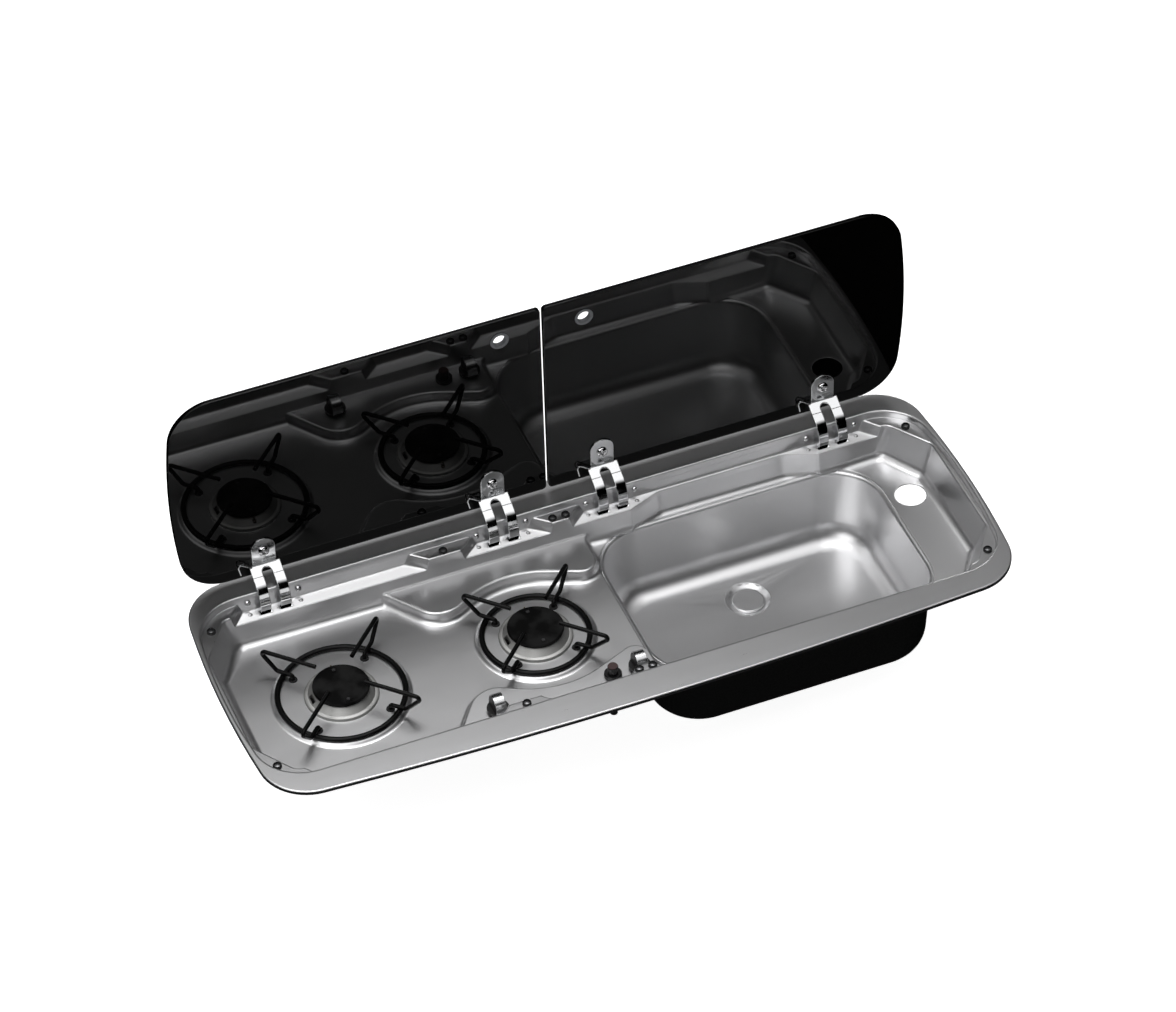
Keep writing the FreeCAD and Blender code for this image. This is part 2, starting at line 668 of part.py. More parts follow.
def bowl_volume(thick):
    """The space of the bowl, or the same grown by a thickness."""
    profile = hollow_profile(z_bowl, z_floor, S.bowl_fillet, S.bowl_round, FINE_STEPS)
    return pressed(bowl_plan(S.bowl_lean), bowl_plan(0), [S.bowl_corner] * 4, profile, thick, above=T)


def hinge_slots():
    """Slots in the ledges that the hinge straps swing through."""
    drop = float(z_axis - z_ledge)
    front = S.axis_y - math.sqrt((S.neck_radius + S.hinge_sheet) ** 2 - drop ** 2) - S.hinge_sheet
    rear = S.axis_y - math.sqrt((S.neck_radius - S.hinge_sheet) ** 2 - drop ** 2) + S.hinge_sheet
    slots = []
    for x in HINGES:
        for side in (-1, 1):
            middle = x + side * (S.strap_gap + S.strap_width) / 2
            half = S.strap_width / 2 + T
            slots.append(block((middle - half, front, z_ledge - T * 2), (middle + half, rear, z_ledge + T)))
    return slots


def deck_holes():
    low, high = z_floor - T * 4, z_floor + S.plateau_rise * 3
    bowl_shape = polygon_corners(between(bowl_plan(0), bowl_plan(0), 0), [S.bowl_corner] * 4)
    holes = [prism(bowl_shape, S.bowl_round + T, low, z_floor + T)]
    holes.append(disc(S.tap_hole_x, S.tap_hole_y, S.tap_hole_r, low, high))
    for x, _, _ in BURNERS.values():
        holes.append(disc(x, 0, S.cup_tube_r + T / 2, low, high))
        holes.append(disc(x, S.sensor_r, SENSOR_R * 1.5, low, high))
        slot_x = x - S.sensor_r
        holes.append(block((slot_x - SLOT_HALF, -SLOT_LENGTH / 2, low),
                           (slot_x + SLOT_HALF, SLOT_LENGTH / 2, high)))
    holes += [disc(x, y, S.bush_r * 0.75, low, high) for x, y in FEET]
    top = z_platform + T * 3
    holes += [disc(x, knob_line, S.stem_r * 1.8, z_under - T, top) for x in KNOBS.values()]
    holes.append(disc(S.igniter_x, knob_line, S.igniter_r + S.running * 2, z_under - T, top))
    holes += [disc(x, y, BUMPER_STEM + S.running * 2, z_shelf - T * 3, z_shelf + T * 2) for x, y in BUMPERS]
    for x in HINGES:
        for side in (-1, 1):
            spot = Vector(x + side * S.wall_screw_x, mouth_y - T * 2, z_wall_screw)
            holes.append(Part.makeCylinder(SCREW_R + S.running, float(T * 5), spot, Vector(0, 1, 0)))
    return holes + hinge_slots()


deck = pressing(T).fuse(flange_plate()).cut(pressing(0)).cut(deck_holes())
node("deck", feature("deck", deck))

# The sink bowl, its coat and the flange seal
drain_cone = [(0, z_bowl - S.drain_sink), (S.drain_seat_r, z_bowl - S.drain_sink), (S.drain_r, z_bowl),
              (S.drain_r, z_bowl + T), (0, z_bowl + T)]
drain_skin = [(r + T if r else 0, z - T) for r, z in drain_cone]
bowl_skin = bowl_volume(T)
bowl = bowl_skin.fuse(spun(drain_skin, drain_x, S.drain_y)).cut(bowl_volume(0))
bowl = bowl.cut([spun(drain_cone, drain_x, S.drain_y),
                 disc(drain_x, S.drain_y, S.drain_bore, z_bowl - S.drain_sink - T * 2, z_bowl)])
node("sink_bowl", feature("sink_bowl", bowl))

lid_of_coat = block((bowl_x[0] - 40, -bowl_y - 40, z_floor - S.coat_start),
                    (bowl_x[1] + 40, bowl_y + 40, z_floor + 20))
drain_flange_r = S.drain_r + 4
coat = bowl_volume(T + S.coat).cut([bowl_skin, lid_of_coat])
coat = coat.cut(disc(drain_x, S.drain_y, drain_flange_r + 2, z_bowl - 20, z_bowl + 5))
node("bowl_coat", feature("bowl_coat", coat))

seal_top = S.rim_height - S.lip_drop
seal_inset = -T / 4
seal_hollow = prism(flange_shape, seal_inset - S.seal_width, 0, seal_top)
seal = prism(flange_shape, seal_inset, 0, seal_top).cut(seal_hollow)
node("flange_seal", feature("flange_seal", seal))

# The glass lids: drawn closed, then swung open about the hinge axis
OPEN = FreeCAD.Placement(Vector(), FreeCAD.Rotation(Vector(1, 0, 0), -90), Vector(0, S.axis_y, z_axis))
tab_hole_y = S.lid_rear - S.tab_screw
finger_y = S.finger_edge - S.lid_front


def lid_hinges(name):
    return [x for x in HINGES if x * LIDS[name] > 0]


for name, side in LIDS.items():
    near, far = side * S.lid_gap / 2, side * lid_end
    sharp, soft = S.lid_inner_corner, S.lid_corner
    bow = S.mouth_end_bow * 0.95
    if side > 0:
        plan = bowed_corners(near, far, -S.lid_front, S.lid_rear, (0, bow, 0, 0),
                             [soft, soft, sharp, sharp])
    else:
        plan = bowed_corners(far, near, -S.lid_front, S.lid_rear, (0, 0, 0, bow),
                             [sharp, sharp, soft, soft])
    plate = prism(plan, 0, z_closed, z_closed + S.glass)
    below, above = z_closed - 1, z_closed + S.glass + 1
    holes = [disc(side * S.finger_x, finger_y, S.finger_r + S.grommet_wall, below, above)]
    holes += [disc(x, tab_hole_y, TAB_SCREW_R * 1.4, below, above) for x in lid_hinges(name)]
    lid = node("lid_glass_" + name, feature("lid_glass_" + name, plate.cut(holes)))
    lid.Placement = OPEN

    sleeve, lip = S.finger_r + S.grommet_wall - S.running, S.finger_r + S.grommet_wall + S.grommet_lip
    ring = spun([(S.finger_r, -1), (lip, -1), (lip, 0), (sleeve, 0), (sleeve, S.glass), (lip, S.glass),
                 (lip, S.glass + 1), (S.finger_r, S.glass + 1)], 0, 0)
    grommet = node("finger_grommet_" + name, feature("finger_grommet_" + name, ring))
    spot = Vector(side * S.finger_x, finger_y, z_closed)
    grommet.Placement = OPEN.multiply(FreeCAD.Placement(spot, FreeCAD.Rotation()))


# The hinges
def yz_plate(points, x0, x1):
    """A plate drawn in the upright plane across the hinge axis."""
    ring = [Vector(x0, y, z) for y, z in points]
    return Part.Face(Part.makePolygon(ring + ring[:1])).extrude(Vector(float(x1 - x0), 0, 0))


def about_axis(radius, angle, x=0):
    return Vector(x, S.axis_y + radius * math.cos(angle), z_axis + radius * math.sin(angle))


def strap_between(first, last, x0, x1):
    """A flat strap of hinge sheet between two spots given as (y, z)."""
    dy, dz = last[0] - first[0], last[1] - first[1]
    far = math.hypot(dy, dz)
    oy, oz = -dz / far * S.hinge_sheet / 2, dy / far * S.hinge_sheet / 2
    return yz_plate([(first[0] + oy, first[1] + oz), (last[0] + oy, last[1] + oz),
                     (last[0] - oy, last[1] - oz), (first[0] - oy, first[1] - oz)], x0, x1)


STRAP_END = math.radians(232)
BARREL_R = S.pin_r + 1.8


def hinge_leaf(x):
    """The tab on the glass and two straps that curve through the ledge to the pin."""
    tab_y = float(glass_y - S.hinge_sheet / 2)
    bend = (tab_y, float(z_edge + S.tab_foot))
    x0, x1 = float(x - strap_outer), float(x + strap_outer)
    half_tab = S.tab_width / 2
    z_round = z_edge + S.tab_top - half_tab
    front = glass_y - S.hinge_sheet
    pieces = [block((x - half_tab, front, bend[1]), (x + half_tab, glass_y, z_round)),
              Part.makeCylinder(float(half_tab), float(S.hinge_sheet), Vector(x, front, z_round), BACK),
              Part.makeCylinder(float(S.hinge_sheet / 2), x1 - x0, Vector(x0, *bend), RIGHT)]
    reach = math.hypot(bend[0] - S.axis_y, bend[1] - z_axis)
    touch = math.atan2(bend[1] - z_axis, bend[0] - S.axis_y) + math.acos(S.neck_radius / reach)
    spot = about_axis(S.neck_radius, touch)
    pieces.append(strap_between(bend, (spot.y, spot.z), x0, x1))
    big, small = S.neck_radius + S.hinge_sheet / 2, S.neck_radius - S.hinge_sheet / 2
    middle = (touch + STRAP_END) / 2
    outside = [about_axis(big, angle, x0) for angle in (touch, middle, STRAP_END)]
    inside = [about_axis(small, angle, x0) for angle in (STRAP_END, middle, touch)]
    curve = Part.Wire([
        Part.Arc(*outside).toShape(),
        Part.LineSegment(outside[2], inside[0]).toShape(),
        Part.Arc(*inside).toShape(),
        Part.LineSegment(inside[2], outside[0]).toShape()])
    pieces.append(Part.Face(curve).extrude(Vector(x1 - x0, 0, 0)))
    tip = about_axis(big, STRAP_END)
    pieces.append(strap_between((float(S.axis_y), float(z_axis)), (tip.y, tip.z), x0, x1))
    pieces.append(Part.makeCylinder(float(BARREL_R), x1 - x0, about_axis(0, 0, x0), RIGHT))
    leaf = pieces[0].fuse(pieces[1:])
    half_gap = S.strap_gap / 2
    window = tab_y - S.neck_radius * 0.37
    floor = z_axis - S.neck_radius * 2
    gap = block((x - half_gap, S.axis_y - S.neck_radius * 2, floor), (x + half_gap, window, bend[1]))
    lower = block((x - half_gap, S.axis_y - S.neck_radius * 2, floor),
                  (x + half_gap, glass_y, z_axis + BARREL_R + 1))
    bore = Part.makeCylinder(float(S.pin_r + S.running), x1 - x0, about_axis(0, 0, x0), RIGHT)
    hole = Part.makeCylinder(TAB_SCREW_R + 0.1, 20, Vector(x, front - 10, z_edge + S.tab_screw), BACK)
    return leaf.cut([gap, lower, disc(x, window, half_gap, floor, bend[1]), bore, hole])


EAR_IN, EAR_THICK = 1.5, 2
ear_reach = BARREL_R + 1.7


def hinge_base(x):
    """The bracket behind the recess wall: a plate and two ears that hold the pin."""
    half = S.wall_screw_x + 8
    back = outer_wall_y + EAR_THICK
    base = block((x - half, outer_wall_y, z_axis - ear_reach), (x + half, back, z_shelf + 2))
    ears = []
    for side in (-1, 1):
        inside = x + side * (strap_outer + EAR_IN)
        outside = inside + side * EAR_THICK
        ears.append(block((min(inside, outside), outer_wall_y, z_axis - ear_reach),
                          (max(inside, outside), S.axis_y + ear_reach, z_axis + ear_reach)))
    cuts = [Part.makeCylinder(float(S.pin_r + 0.01), float(half * 2), about_axis(0, 0, x - half), RIGHT)]
    for side in (-1, 1):
        spot = Vector(x + side * S.wall_screw_x, outer_wall_y - 1, z_wall_screw)
        cuts.append(Part.makeCylinder(SCREW_R + S.running, EAR_THICK + 2, spot, BACK))
    return base.fuse(ears).cut(cuts)


def screw(spot, way, head_r, head, shank_r, length):
    """A screw whose head sits on a face at the spot and whose shank runs along the way."""
    top = Part.makeCylinder(float(head_r), float(head), spot - way * float(head), way)
    return top.fuse(Part.makeCylinder(float(shank_r), float(length), spot - way * float(head) / 2, way))


for number, x in enumerate(HINGES, 1):
    node(f"hinge_leaf_{number}", feature(f"hinge_leaf_{number}", hinge_leaf(x)))
node("hinge_bases", feature("hinge_bases", Part.makeCompound([hinge_base(x) for x in HINGES])))
pin_half = strap_outer + EAR_IN + EAR_THICK + 1.5
pins = [Part.makeCylinder(float(S.pin_r), float(pin_half * 2), about_axis(0, 0, x - pin_half), RIGHT)
        for x in HINGES]
node("hinge_pins", feature("hinge_pins", Part.makeCompound(pins)))
WALL_HEAD, WALL_LENGTH = 1.5, 6
wall_spots = [Vector(x + side * S.wall_screw_x, mouth_y, z_wall_screw) for x in HINGES for side in (-1, 1)]
wall_screws = [screw(spot, BACK, SCREW_R * 2, WALL_HEAD, SCREW_R, WALL_LENGTH) for spot in wall_spots]
node("hinge_wall_screws", feature("hinge_wall_screws", Part.makeCompound(wall_screws)))

PLATE_THICK = 2.5
plate_y = glass_y + S.glass
for name in LIDS:
    plates, screws = [], []
    for x in lid_hinges(name):
        z_screw = z_edge + S.tab_screw
        plate = block((x - S.tab_width * 0.7, plate_y, z_edge + 2),
                      (x + S.tab_width * 0.7, plate_y + PLATE_THICK, z_edge + S.tab_top - 5))
        hole = Part.makeCylinder(TAB_SCREW_R + 0.1, PLATE_THICK * 2, Vector(x, plate_y - 1, z_screw), BACK)
        plates.append(plate.cut(hole))
        bolt = screw(Vector(x, glass_y - S.hinge_sheet, z_screw), BACK, 6.5, 2.5, TAB_SCREW_R,
                     S.glass + S.hinge_sheet + PLATE_THICK + 2)
        nut = Part.makeCylinder(6, 3, Vector(x, plate_y + PLATE_THICK, z_screw), BACK)
        screws.append(bolt.fuse(nut))
    node("lid_clamps_" + name, feature("lid_clamps_" + name, Part.makeCompound(plates)))
    node("tab_screws_" + name, feature("tab_screws_" + name, Part.makeCompound(screws)))

# The bumpers that the closed lids rest over
bumper_top = z_closed - S.bumper_gap - z_shelf
BUMPER_FLARE, BUMPER_TAIL, EYELET_SEAT = 1, 1.5, 1.2
flare = BUMPER_STEM + BUMPER_FLARE
cup_in = S.bumper_r - S.bumper_rim
bumper = [(0, -T - BUMPER_TAIL), (flare, -T - BUMPER_TAIL), (flare, -T), (BUMPER_STEM, -T), (BUMPER_STEM, 0),
          (S.bumper_r, 0), (S.bumper_r, bumper_top * 0.7), (S.bumper_r - S.bumper_rim * 0.4, bumper_top),
          (cup_in + S.bumper_rim * 0.2, bumper_top), (cup_in, bumper_top * 0.8), (cup_in, EYELET_SEAT),
          (0, EYELET_SEAT)]
bumper = [(r, z + z_shelf) for r, z in bumper]
eyelet_r = cup_in - S.running
eyelet = [(0, EYELET_SEAT), (eyelet_r, EYELET_SEAT), (eyelet_r, EYELET_SEAT + 0.4),
          (eyelet_r * 0.6, bumper_top * 0.6), (0, bumper_top * 0.7)]
eyelet = [(r, z + z_shelf) for r, z in eyelet]
node("bumpers", feature("bumpers", Part.makeCompound([spun(bumper, x, y) for x, y in BUMPERS])))
eyelets = [spun(eyelet, x, y) for x, y in BUMPERS]
node("bumper_eyelets", feature("bumper_eyelets", Part.makeCompound(eyelets)))

# The burners
cup_top = z_plateau + S.cup_rise
cap_top = S.rim_height - S.cap_depth
cap_bottom = cap_top - S.cap_thick
CUP_WALL, CUP_ROUND, CUP_LIP = 2, 3, 1.6
VENTURI_R = 10
HEAD_GAP = 0.4
PORTS, PORT_HALF, PORT_FOOT = 24, 0.9, 1.2
cup_lip = cap_bottom - S.cap_slit - z_plateau
for name, (x, ring_r, reach) in BURNERS.items():
    inner_r = S.cup_tube_r - CUP_WALL
    low = -S.cup_depth
    seat_r = S.head_r + HEAD_GAP
    cup = turned("cup_blank_" + name, [
        (VENTURI_R, low), (S.cup_tube_r, low), (S.cup_tube_r, 0), (S.cup_r, 0),
        (S.cup_r, S.cup_rise - CUP_ROUND), (S.cup_r - CUP_ROUND * 0.3, S.cup_rise - CUP_ROUND * 0.3),
        (S.cup_r - CUP_ROUND, S.cup_rise), (S.cup_r - S.cup_step, S.cup_rise), (seat_r + CUP_LIP, cup_lip),
        (seat_r, cup_lip), (seat_r, S.cup_rise), (inner_r, S.cup_rise), (inner_r, low + 3), (VENTURI_R, low + 3)],
        (x, 0, z_plateau))
    cut_low, slot_x = z_plateau - S.cup_rise, x - S.sensor_r
    wire_hole = cylinder("wire_hole_" + name, SENSOR_R * 1.5, S.cup_rise * 4, (x, S.sensor_r, cut_low))
    slot = box("sensor_slot_" + name, (slot_x - SLOT_HALF, -SLOT_LENGTH / 2, cut_low),
               (slot_x + SLOT_HALF, SLOT_LENGTH / 2, cap_bottom))
    node("burner_cup_" + name, cut("burner_cup_" + name, cup, [wire_hole, slot]))

    ports = [block((S.head_r - 4, -PORT_HALF, cup_top + PORT_FOOT), (S.head_r + 4, PORT_HALF, cap_bottom + 1))
             for _ in range(PORTS)]
    for k, port in enumerate(ports):
        port.rotate(Vector(), UP, (k + 0.5) * 360 / PORTS)
        port.translate(Vector(x, 0, 0))
    ring_in = S.head_r - 8
    ring = [(ring_in, cup_top), (S.head_r, cup_top), (S.head_r, cap_bottom), (ring_in, cap_bottom)]
    flame_ring = spun(ring, x, 0)
    drill_r, drill_low = SCREW_R + S.running, cup_top + 1
    screw_holes = [disc(x, sy * S.cap_screw_y, drill_r, drill_low, cap_bottom + 1) for sy in (-1, 1)]
    node("flame_ring_" + name, feature("flame_ring_" + name, flame_ring.cut(ports + screw_holes)))

    cap = turned("cap_blank_" + name, [
        (0, 0), (S.cap_r - 1, 0), (S.cap_r, 1), (S.cap_r, S.cap_thick - 1.2), (S.cap_r - 1.2, S.cap_thick),
        (0, S.cap_thick)], (x, 0, cap_bottom))
    drills = [cylinder(f"cap_drill_{name}_{k}", SCREW_R + S.running, S.cap_thick * 3,
                       (x, sy * S.cap_screw_y, cap_bottom - S.cap_thick)) for k, sy in enumerate((-1, 1))]
    node("burner_cap_" + name, cut("burner_cap_" + name, cap, drills))

DOWN = Vector(0, 0, -1)
cap_screws = [screw(Vector(x, sy * S.cap_screw_y, cap_top), DOWN, 2, 0.7, SCREW_R, S.cap_thick + 2)
              for x, _, _ in BURNERS.values() for sy in (-1, 1)]
node("cap_screws", feature("cap_screws", Part.makeCompound(cap_screws)))
ceramic_r = SENSOR_R * 1.5 - S.running
PIN_R, PROBE_TAIL = 1, 14
probe_low, ceramic_top, pin_top = z_plateau - PROBE_TAIL, cup_top + 3, cap_bottom + 1.5
electrode = [(0, probe_low), (ceramic_r, probe_low), (ceramic_r, ceramic_top), (PIN_R, ceramic_top),
             (PIN_R, pin_top), (0, pin_top)]
electrodes = [spun(electrode, x, S.sensor_r) for x, _, _ in BURNERS.values()]
node("electrodes", feature("electrodes", Part.makeCompound(electrodes)))
sensors = [disc(x - S.sensor_r, 0, SENSOR_R, probe_low, cup_top - 0.4) for x, _, _ in BURNERS.values()]
node("flame_sensors", feature("flame_sensors", Part.makeCompound(sensors)))


# The pan supports
def bent_path(points, bends):
    """A wire of straight runs joined by tangent arcs."""
    edges = []
    last = points[0]
    for k in range(1, len(points) - 1):
        way_in = (points[k] - points[k - 1]).normalize()
        way_out = (points[k + 1] - points[k]).normalize()
        turn = way_in.getAngle(way_out)
        radius = float(bends[k - 1])
        run = radius * math.tan(turn / 2)
        first, end = points[k] - way_in * run, points[k] + way_out * run
        inward = (way_out - way_in).normalize()
        middle = points[k] + inward * (radius / math.cos(turn / 2) - radius)
        edges.append(Part.LineSegment(last, first).toShape())
        edges.append(Part.Arc(first, middle, end).toShape())
        last = end
    edges.append(Part.LineSegment(last, points[-1]).toShape())
    return Part.Wire(edges)


def rod(points, bends, radius):
    """A round rod along a bent path."""
    path = bent_path(points, bends)
    way = (points[1] - points[0]).normalize()
    ring = Part.Wire(Part.makeCircle(float(radius), points[0], way))
    return path.makePipeShell([ring], True, True)


z_arm = S.rim_height - S.arm_depth
z_ring = z_plateau + S.wire_r + 0.4
z_leg = z_ring + S.wire_r * 1.7
BUSH_DEPTH = 1.5
for name, (x, ring_r, reach) in BURNERS.items():
    tip, foot = ring_r + reach + 5, ring_r - S.foot_inset
    spots = [(S.arm_inner_r, z_arm), (tip, z_arm), (ring_r + 8, z_leg + 0.2), (foot, z_leg - 0.2),
             (foot, z_plateau - BUSH_DEPTH + 0.3)]
    arm = rod([Vector(r, 0, z) for r, z in spots], [4, 6, 3.5], S.wire_r)
    arms = []
    for k in range(4):
        copy = arm.copy()
        copy.rotate(Vector(), Vector(0, 0, 1), 45 + 90 * k)
        arms.append(copy)
    support = Part.makeTorus(float(ring_r), float(S.wire_r), Vector(0, 0, z_ring)).fuse(arms)
    support.translate(Vector(x, 0, 0))
    node("pan_support_" + name, feature("pan_support_" + name, support))

grip = S.wire_r + S.running
stem = S.bush_r * 0.75 - S.running
bush = [(0, -BUSH_DEPTH * 2), (stem, -BUSH_DEPTH * 2), (stem, 0), (S.bush_r, 0), (S.bush_r - 0.4, 1.6),
        (grip, 1.6), (grip, -BUSH_DEPTH), (0, -BUSH_DEPTH)]
bush = [(r, z + z_plateau) for r, z in bush]
node("foot_bushes", feature("foot_bushes", Part.makeCompound([spun(bush, x, y) for x, y in FEET])))

# The gas taps, their knobs, the rail and the burner feeds
z_tap = z_under - S.tap_height
rail_front = knob_line + S.tap_r + 1
z_rail = z_under - S.rail_drop
z_knob = z_platform + S.knob_gap
STEM_IN = 16
PLUG_DROP = 3
z_grip = z_knob + S.knob_base
z_pipe = z_tap - S.pipe_drop
z_cup_bottom = z_plateau - S.cup_depth
UNION = 6
KNOB_BAND = 0.9


def knob_fin(x, radius, width):
    """The upright grip of a knob: an arch in side view that stands on straight legs."""
    low = Vector(x - width / 2, knob_line, z_grip)
    arch = Part.makeCylinder(float(radius), float(width), low, RIGHT)
    legs = block((x - width / 2, knob_line - radius, z_knob), (x + width / 2, knob_line + radius, z_grip))
    below = block((x - width, knob_line - radius * 2, z_grip - radius * 2),
                  (x + width, knob_line + radius * 2, z_grip))
    return arch.cut(below).fuse(legs)


for name, x in KNOBS.items():
    barrel = cylinder("tap_barrel_" + name, S.tap_r, S.tap_height, (x, knob_line, z_tap))
    boss = box("tap_boss_" + name, (x - S.rail_side / 2, knob_line, z_rail - S.rail_side),
               (x + S.rail_side / 2, rail_front, z_rail))
    bore = cylinder("tap_bore_" + name, S.plug_r + S.running, S.tap_height, (x, knob_line, z_tap + 5))
    node("tap_body_" + name, cut("tap_body_" + name, fuse("tap_blank_" + name, [barrel, boss]), [bore]))

    plug_low, plug_top = z_tap + 5.3, z_under - PLUG_DROP
    core = plug_top - plug_low
    plug = turned("tap_plug_" + name, [
        (0, 0), (S.plug_r, 0), (S.plug_r, core), (S.stem_r + S.running, core),
        (S.stem_r + S.running, core - STEM_IN), (0, core - STEM_IN)], (x, knob_line, plug_low))
    node("tap_plug_" + name, plug)

    stem_low = plug_top - STEM_IN + PLUG_DROP
    spindle = cylinder("tap_stem_" + name, S.stem_r, z_grip - stem_low, (x, knob_line, stem_low))
    node("tap_stem_" + name, spindle)

    base_top = z_knob + S.knob_base * 0.4
    fin = knob_fin(x, S.knob_r, S.knob_fin)
    core = knob_fin(x, S.knob_r - KNOB_BAND, S.knob_fin * 2)
    band = fin.cut([core, disc(x, knob_line, S.knob_r * 2, z_knob, base_top)])
    plate = disc(x, knob_line, S.knob_r, z_knob, base_top)
    socket = disc(x, knob_line, S.stem_r + 0.01, z_knob - 1, z_grip)
    knob = fin.fuse(plate).cut([band, socket])
    node("knob_" + name, feature("knob_" + name, knob))
    node("knob_band_" + name, feature("knob_band_" + name, band))

    burner_x = BURNERS[name][0]
    union_x = burner_x + S.injector_r + UNION
    feed = rod([Vector(x, knob_line, z_tap), Vector(x, knob_line, z_pipe), Vector(x, 0, z_pipe),
                Vector(union_x, 0, z_pipe)], [S.pipe_drop - 1, S.pipe_drop + 3], S.pipe_r)
    node("feed_pipe_" + name, feature("feed_pipe_" + name, feed))

rail_left, rail_right = S.knob_left_x - S.rail_side * 3, S.knob_right_x + S.rail_side
rail = box("rail_tube", (rail_left, rail_front, z_rail - S.rail_side),
           (rail_right, rail_front + S.rail_side, z_rail))
inlet = cylinder("inlet_tube", S.inlet_r, S.inlet_length,
                 (rail_left - S.inlet_length, rail_front + S.rail_side / 2, z_rail - S.rail_side / 2),
                 ALONG_X)
node("gas_rail", fuse("gas_rail", [rail, inlet]))

injectors = []
for x, _, _ in BURNERS.values():
    holder = spun([(0, z_pipe - 9), (S.injector_r, z_pipe - 9), (S.injector_r, z_cup_bottom - 3),
                   (S.cup_tube_r - CUP_WALL, z_cup_bottom - 3), (S.cup_tube_r - CUP_WALL, z_cup_bottom),
                   (3, z_cup_bottom), (3, z_cup_bottom + 4), (0, z_cup_bottom + 4)], x, 0)
    union = Part.makeCylinder(float(S.pipe_r + 2), float(S.injector_r + UNION), Vector(x, 0, z_pipe), RIGHT)
    injectors.append(holder.fuse(union))
node("injectors", feature("injectors", Part.makeCompound(injectors)))

# The igniter
BEZEL_RISE = 5.5
PUSH_ROOM = 7
BUTTON_TAIL = 18
shell_top = z_platform + BEZEL_RISE - 1
flange_r = S.igniter_r + 2.2
tail = S.igniter_length - 16
bore_r = S.button_r + S.running
nub_r, long = S.igniter_r * 0.55, S.igniter_length
rim, bore_floor = long + T + BEZEL_RISE - 1, long + T - BUTTON_TAIL - PUSH_ROOM
shell = turned("igniter_body", [
    (0, 0), (nub_r, 0), (nub_r, long - tail), (S.igniter_r, long - tail), (S.igniter_r, long - 3),
    (flange_r, long - 3), (flange_r, long), (S.igniter_r, long), (S.igniter_r, rim), (bore_r, rim),
    (bore_r, bore_floor), (0, bore_floor)], (S.igniter_x, knob_line, z_under - long))
node("igniter_body", shell)
bezel = turned("igniter_bezel", [
    (S.igniter_r + S.running, 0), (S.bezel_r, 0), (S.bezel_r, BEZEL_RISE - 1), (S.bezel_r - 1, BEZEL_RISE),
    (S.igniter_r + S.running, BEZEL_RISE)], (S.igniter_x, knob_line, z_platform))
node("igniter_bezel", bezel)
BUTTON_CAP = 1.2
button = cylinder("igniter_button", S.button_r, S.igniter_rise - BUTTON_CAP + BUTTON_TAIL,
                  (S.igniter_x, knob_line, z_platform - BUTTON_TAIL))
node("igniter_button", button)
button_cap = cylinder("igniter_cap", S.button_r - 0.6, BUTTON_CAP,
                      (S.igniter_x, knob_line, z_platform + S.igniter_rise - BUTTON_CAP))
node("igniter_cap", button_cap)

# The drain
z_seat = z_bowl - S.drain_sink - T
throat = S.drain_bore + 3
spigot_in = S.spigot_r - 2
spout, flange_low, flange_top = S.spigot_length, S.spigot_length + 19, S.spigot_length + 22
drain = turned("drain_body", [
    (spigot_in, 0), (S.spigot_r, 0), (S.spigot_r, spout), (throat, spout + 6), (throat, flange_low),
    (drain_flange_r, flange_low), (drain_flange_r, flange_top), (S.drain_bore, flange_top),
    (S.drain_bore, spout + 8), (spigot_in, spout + 2)],
    (drain_x, S.drain_y, z_seat - flange_top))
node("drain_body", drain)
plug_r = S.drain_bore - S.plug_gap
PLUG_NECK, PLUG_EDGE, PLUG_TOP = 10, 11.8, 12.4
plug_rim = S.drain_seat_r - 1
stopper = turned("drain_plug", [
    (0, 0), (plug_r, 0), (plug_r, PLUG_NECK), (plug_rim, PLUG_NECK), (plug_rim, PLUG_EDGE),
    (plug_rim - 0.8, PLUG_TOP), (0, PLUG_TOP)], (drain_x, S.drain_y, z_seat + T - PLUG_NECK))
node("drain_plug", stopper)

# The fixing brackets under the front of the flange
BRACKET_HALF, BRACKET_THICK = 12, 2
BOLT_R, BOLT_HEAD_R = 2.5, 4.5
z_bracket = z_ledge + 2
screw_line = -(outer_wall_y + S.clamp_foot - BOLT_HEAD_R - 1.5)
brackets, bolts = [], []
for x in HINGES:
    left, right = x - BRACKET_HALF, x + BRACKET_HALF
    upright = block((left, -outer_wall_y - BRACKET_THICK, z_bracket), (right, -outer_wall_y, z_shelf + 2))
    flat = block((left, -outer_wall_y - S.clamp_foot, z_bracket),
                 (right, -outer_wall_y, z_bracket + BRACKET_THICK))
    hole = disc(x, screw_line, BOLT_R + S.running, z_bracket - 2, z_bracket + 6)
    brackets.append(upright.fuse(flat).cut(hole))
    bolts.append(screw(Vector(x, screw_line, z_bracket), UP, BOLT_HEAD_R, 3, BOLT_R, 13))
node("fixing_brackets", feature("fixing_brackets", Part.makeCompound(brackets)))
node("fixing_screws", feature("fixing_screws", Part.makeCompound(bolts)))

# Checks, then one file for each sub-part
doc.recompute()
for thing in doc.Objects:
    if "Invalid" in thing.State or "Error" in thing.State:
        raise ValueError(f"{thing.Label} did not build: {thing.State}")
for name, thing in nodes.items():
    if thing.Shape.isNull() or not thing.Shape.isValid():
        raise ValueError(f"{name} has no valid shape")
os.makedirs("parts", exist_ok=True)
for name, thing in nodes.items():
    thing.Shape.exportStep(f"parts/{name}.step")
print(len(nodes), "sub-parts,", sum(len(thing.Shape.Solids) for thing in nodes.values()), "solids")
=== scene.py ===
# %% [markdown]
# # A built-in hob and sink with two glass lids
#
# This lesson dresses a finished CAD model in Blender. The pressed steel deck, the burners, the hinges
# and the glass lids come from the CAD frame and stay where they are. Here they get soft shading,
# real finishes, a few small pieces that are easier to draw as surfaces, and a studio to stand in.
# Every length is in metres and every place is in the frame of the CAD model.

# %% Load the frame
import json
import bpy
import numpy as np
from mathutils import Matrix, Vector


